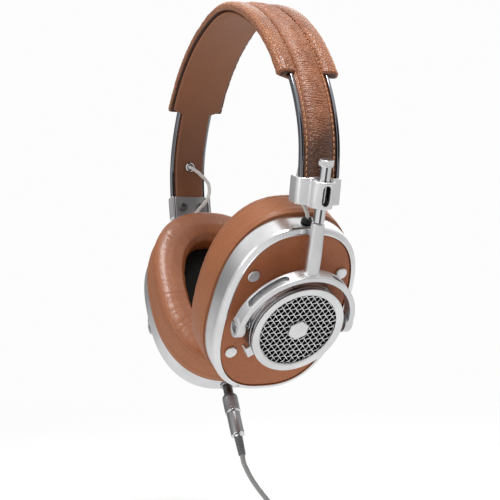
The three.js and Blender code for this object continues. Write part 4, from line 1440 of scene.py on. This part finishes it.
def link_cable(tag):
    """cable from headband to cup, in three pieces."""
    base, link = FRAMES[tag]["base"], LINKS[tag]
    into = inverse(base) @ FRAMES[tag]["cup"]
    bow, (far, near) = link["bow"], link["shifts"]
    ends = [(far, link["lean"], 7), (near, 0, 3.4), (0, 0, -3)]
    points = [(86.4, 0, -71.1), (83.4, 0, -71.3), (80.8, -bow[0], -74.8), (78.4, -bow[1], -81.0),
              (76.9, -bow[2], -89.0), (76.2, -bow[3], -97.2)]
    points += [tuple(at(into, (CABLE_X + x, y, CUP_Z + z))[0]) for x, y, z in ends]
    path = at(base, catmull(points, 241))
    for n, (first, last, bend_from, bend_to) in enumerate(LINK_PIECES):
        def twist(r, i, a):
            return r * (1 + 0.05 * np.cos(3 * a + (i + first) * 0.35))
        part = tube(path[first:last + 1], LINK_R, 14, caps=(n != 1), ripple=twist)
        mesh = mesh_of(f"link_{tag}_{n}", [part], sharp=80)
        obj = add_object(f"link_cable_{tag}_{'abc'[n]}", mesh)
        mesh.materials.append(link_yarn)
        if n == 0:
            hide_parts(f"link_cable_{tag}")
        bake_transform(obj)


# ------------------------------------------------------------------ both sides
def build_side(tag):
    frames, facing = FRAMES[tag], SIDES[tag]["side"]
    cup, bracket, fork = frames["cup"], frames["bracket"], frames["fork"]

    def fit(name, mesh, material, slot, where, node, end="", body=None):
        place(f"{name}_{tag}{end}", mesh, material, slot, where,
              node and f"{node}_{tag}{end}", body)

    fit("bracket_channel", bracket_mesh, bracket_metal, "satin_aluminium", bracket, "bracket")
    fit("clamp_plate_cover", plate_mesh, grey_metal, "grey_plate", bracket, "clamp_plate")
    for end, y in ENDS:
        # the screw is drawn along +x and turned so that its head faces the strap's inner side
        where = bracket @ move(0, facing * y * CLAMP_SCREW_Y, 0) @ turn("z", 180)
        fit("clamp_screw_head", clamp_screw_mesh, dark_metal, "grey_plate", where,
            "clamp_screw", f"_{end}")
    fit("eyelet_ring", eyelet_mesh, steel, "grey_plate",
        frames["base"] @ move(85.7, 0, -71.1), "cable_eyelet")
    fit("post_rod", post_mesh, steel, "polished_steel", frames["post"], "post")
    fit("post_knurled_cap", post_cap_mesh, aluminium, "polished_steel", frames["post"],
        "post_cap")
    fit("yoke_casting", yoke_mesh, yoke_metal, "satin_aluminium", fork, "yoke")
    fit("cup_ring", cup_frame_mesh, aluminium, "satin_aluminium", cup, "cup_frame")
    fit("face_leather", face_mesh, face_leather, "face_leather", cup, "face_plate")
    for level, z in (("upper", 1), ("lower", -1)):
        for end, y in ENDS:
            fit("stud", stud_mesh, bracket_metal, "satin_aluminium",
                cup @ move(0, facing * y * STUD_Y, z * STUD_Z), "face_stud", f"_{end}_{level}")
    fit("drum_barrel", drum_mesh, drum_metal, "satin_aluminium", cup, "drum")
    for end, y in ENDS:
        where = fork @ move(2.1, 0, -0.9) @ turn("z", 90 * facing * y)
        fit("pivot_screw_head", pivot_screw_mesh, steel, "polished_steel", where,
            "pivot_screw", f"_{end}", body=f"yoke_{tag}")
    fit("bezel_ring", bezel_mesh, bezel_metal, "satin_aluminium", cup, "bezel")
    fit("woven_grille", weave_mesh, mesh_steel, "mesh_steel", cup, "grille")
    fit("grille_backing", backing_mesh, backing_cloth, "black_cloth", cup, None,
        body=f"cup_{tag}")
    fit("badge_hexagon", badge_mesh, bezel_metal, "satin_aluminium", cup @ turn("x", 28),
        "badge")
    fit("driver_basket", driver_mesh, black_plastic, "black_plastic", cup, "driver")
    fit("baffle_cloth", baffle_mesh, black_cloth, "black_cloth", cup, "baffle")
    fit("ear_cushion", pad_mesh, pad_leather, "pad_leather", cup, "ear_pad")
    fit("grommet", grommet_mesh, black_plastic, "black_plastic", cup @ move(CABLE_X, 0, 0),
        "cable_grommet")
    link_cable(tag)


build_side("right")
build_side("left")
place("mute_button_tab", button_mesh, aluminium, "satin_aluminium",
      FRAMES["right"]["cup"] @ turn("x", -238), "mute_button_right")

# ------------------------------------------------------------------ plug and main cable, left
plug_place = FRAMES["left"]["cup"] @ move(CABLE_X, 0, 0)
place("jack_socket_ring", socket_mesh, grey_metal, "grey_plate", plug_place, "jack_socket_left")
place("plug_collar", collar_mesh, plug_metal, "plug_metal", plug_place, "plug_left")
for name, mesh, material in (
        ("plug_pin", pin_mesh, steel), ("plug_barrel", barrel_mesh, sleeve_metal),
        ("plug_ring", plug_ring_mesh, steel), ("plug_sleeve", sleeve_mesh, sleeve_metal),
        ("plug_end_ring", end_ring_mesh, steel), ("cable_boot", boot_mesh, grey_rubber)):
    place(name, mesh, material, "plug_metal", plug_place, body="plug")


def braided_cable():
    base = FRAMES["left"]["base"]
    into = inverse(base) @ FRAMES["left"]["cup"]
    points = [at(into, (CABLE_X, 0, CUP_BOTTOM + z))[0] for z in (-38.5, -41.5, -46.0)]
    # steps from the last point straight below the plug
    points += [points[-1] + np.array(step) for step in (
        (-4.0, -2.3, -7.0), (-8.0, -6.2, -14.0), (-11.6, -11.4, -21.0), (-14.0, -16.6, -26.5))]

    def braid(r, i, a):
        lay = i * 0.115 * 4.2
        return r * (1 + 0.055 * np.maximum(np.cos(6 * a + lay), np.cos(6 * a - lay)))
    return mesh_of("cable", [tube(at(base, catmull(points, 360)), 1.22, 48, ripple=braid)],
                   sharp=80)


place("braided_cable", braided_cable(), braid_yarn, "braided_cable", node="cable_left")

# ------------------------------------------------------------------ floor
FLOOR_HALF, FLOOR_DROP = 6000, 12.0


def pale_floor():
    """matt near the middle, plain white far away, dimmer to all but camera rays."""
    look = Finish("pale_floor")
    position = look.node("ShaderNodeNewGeometry").outputs["Position"]
    distance = look.vector("LENGTH", position).outputs["Value"]
    far = look.ramp(look.times(distance, 0.5), (0.14, 0.0), (0.5, 1.0))
    seen = look.node("ShaderNodeLightPath").outputs["Is Camera Ray"]
    mirrored = look.math("SUBTRACT", 0.82, look.times(far, 0.28))
    strength = look.add(look.times(seen, 0.98), look.times(look.invert(seen), mirrored))
    glow = look.node("ShaderNodeEmission", Color=(1, 1, 1, 1), Strength=strength)
    far = look.math("MAXIMUM", far, look.invert(seen))
    cloud = look.noise(scale=14, detail=3.0)
    look.set(Base_Color=look.mix(cloud, (0.86, 0.86, 0.86, 1), (0.90, 0.90, 0.90, 1)),
             Roughness=0.8)
    blend = look.node("ShaderNodeMixShader", far, look.surface.outputs[0], glow.outputs[0])
    look.feed(look.tree.nodes["Material Output"], "Surface", blend.outputs[0])
    return look.material


floor_z = CAD_BOX[0][2] * 1000 - FLOOR_DROP
floor_corners = [[x * FLOOR_HALF, y * FLOOR_HALF, floor_z]
                 for x, y in ((-1, -1), (1, -1), (1, 1), (-1, 1))]
floor_mesh = mesh_of("floor", [(floor_corners, [[0, 1, 2, 3]])], outward=False)
add_object("floor", floor_mesh)
floor_mesh.materials.append(pale_floor())

# ------------------------------------------------------------------ world
# level from straight down (0) to straight up (1)
SKY = ((0.0, 0.62), (0.47, 0.62), (0.52, 0.74), (0.63, 0.68), (0.80, 0.85), (1.0, 1.0))
# dark cards: direction, cosine where each starts and is full, level there
CARDS = (((0.90, 0.30, 0.24), 0.80, 0.95, 0.08), ((-0.93, -0.37, 0.0), 0.70, 0.95, 0.38))


def studio_world():
    """pale sky whose cards give polished metal its dark lines; the camera sees plain white."""
    world = bpy.data.worlds.new("studio")
    scene.world = world
    world.use_nodes = True
    sky = Nodes(world.node_tree)
    direction = sky.node("ShaderNodeTexCoord").outputs["Generated"]
    height = sky.node("ShaderNodeMapRange", sky.split(direction)["Z"], From_Min=-1).outputs[0]
    shade = sky.ramp(height, *SKY)
    for card, start, full, dark in CARDS:
        near = sky.vector("DOT_PRODUCT", direction, Vector(card).normalized())
        level = sky.smooth_range(near.outputs["Value"], From_Min=start, From_Max=full,
                                 To_Min=1.0, To_Max=dark)
        shade = sky.mix(1.0, shade, sky.grey(level), "MULTIPLY")
    seen = sky.node("ShaderNodeLightPath").outputs["Is Camera Ray"]
    background = sky.tree.nodes["Background"]
    sky.feed(background, "Color", sky.mix(seen, shade, (0.98, 0.98, 0.98, 1)))
    sky.feed(background, "Strength", 1.0)


studio_world()


# ------------------------------------------------------------------ lights and camera, metres
def softbox(name, place, target, size, power, height=None):
    data = bpy.data.lights.new(name, "AREA")
    data.shape = "RECTANGLE"
    data.size, data.size_y = size, height or size
    data.energy = power
    obj = add_object(name, data)
    obj.location = place
    aim = Vector(target) - Vector(place)
    obj.rotation_euler = aim.to_track_quat("-Z", "Y").to_euler()


softbox("top_softbox", place=(0.24, 0.0, 0.62), target=(0.02, 0, -0.08), size=0.26, power=4.0)
softbox("side_softbox", place=(0.27, -1.0, 0.02), target=(0, 0, -0.12), size=0.3, power=1.3,
        height=0.8)
softbox("far_softbox", place=(-0.8, 0.5, 0.4), target=(0, 0, -0.1), size=0.8, power=1.8)

camera_data = bpy.data.cameras.new("camera")
camera_data.lens = 108.2
camera_data.sensor_width = 36.0
camera_data.clip_end = 50
camera = add_object("camera", camera_data)
# the camera's right, up and backward directions
camera_axes = Matrix((Vector((0.3740, 0.9274, 0.0)), Vector((0.0251, -0.0101, 0.9996)),
                      Vector((0.9271, -0.3738, -0.0271)))).transposed()
camera.matrix_world = Matrix.Translation((0.7099, -0.2841, -0.1404)) @ camera_axes.to_4x4()
scene.camera = camera
scene.view_settings.view_transform = "Standard"

# every CAD node must have been replaced by a piece above
left_over = [name for name, obj in frame["nodes"].items() if not obj.hide_render]
if left_over:
    raise RuntimeError(f"CAD nodes still shown: {left_over}")
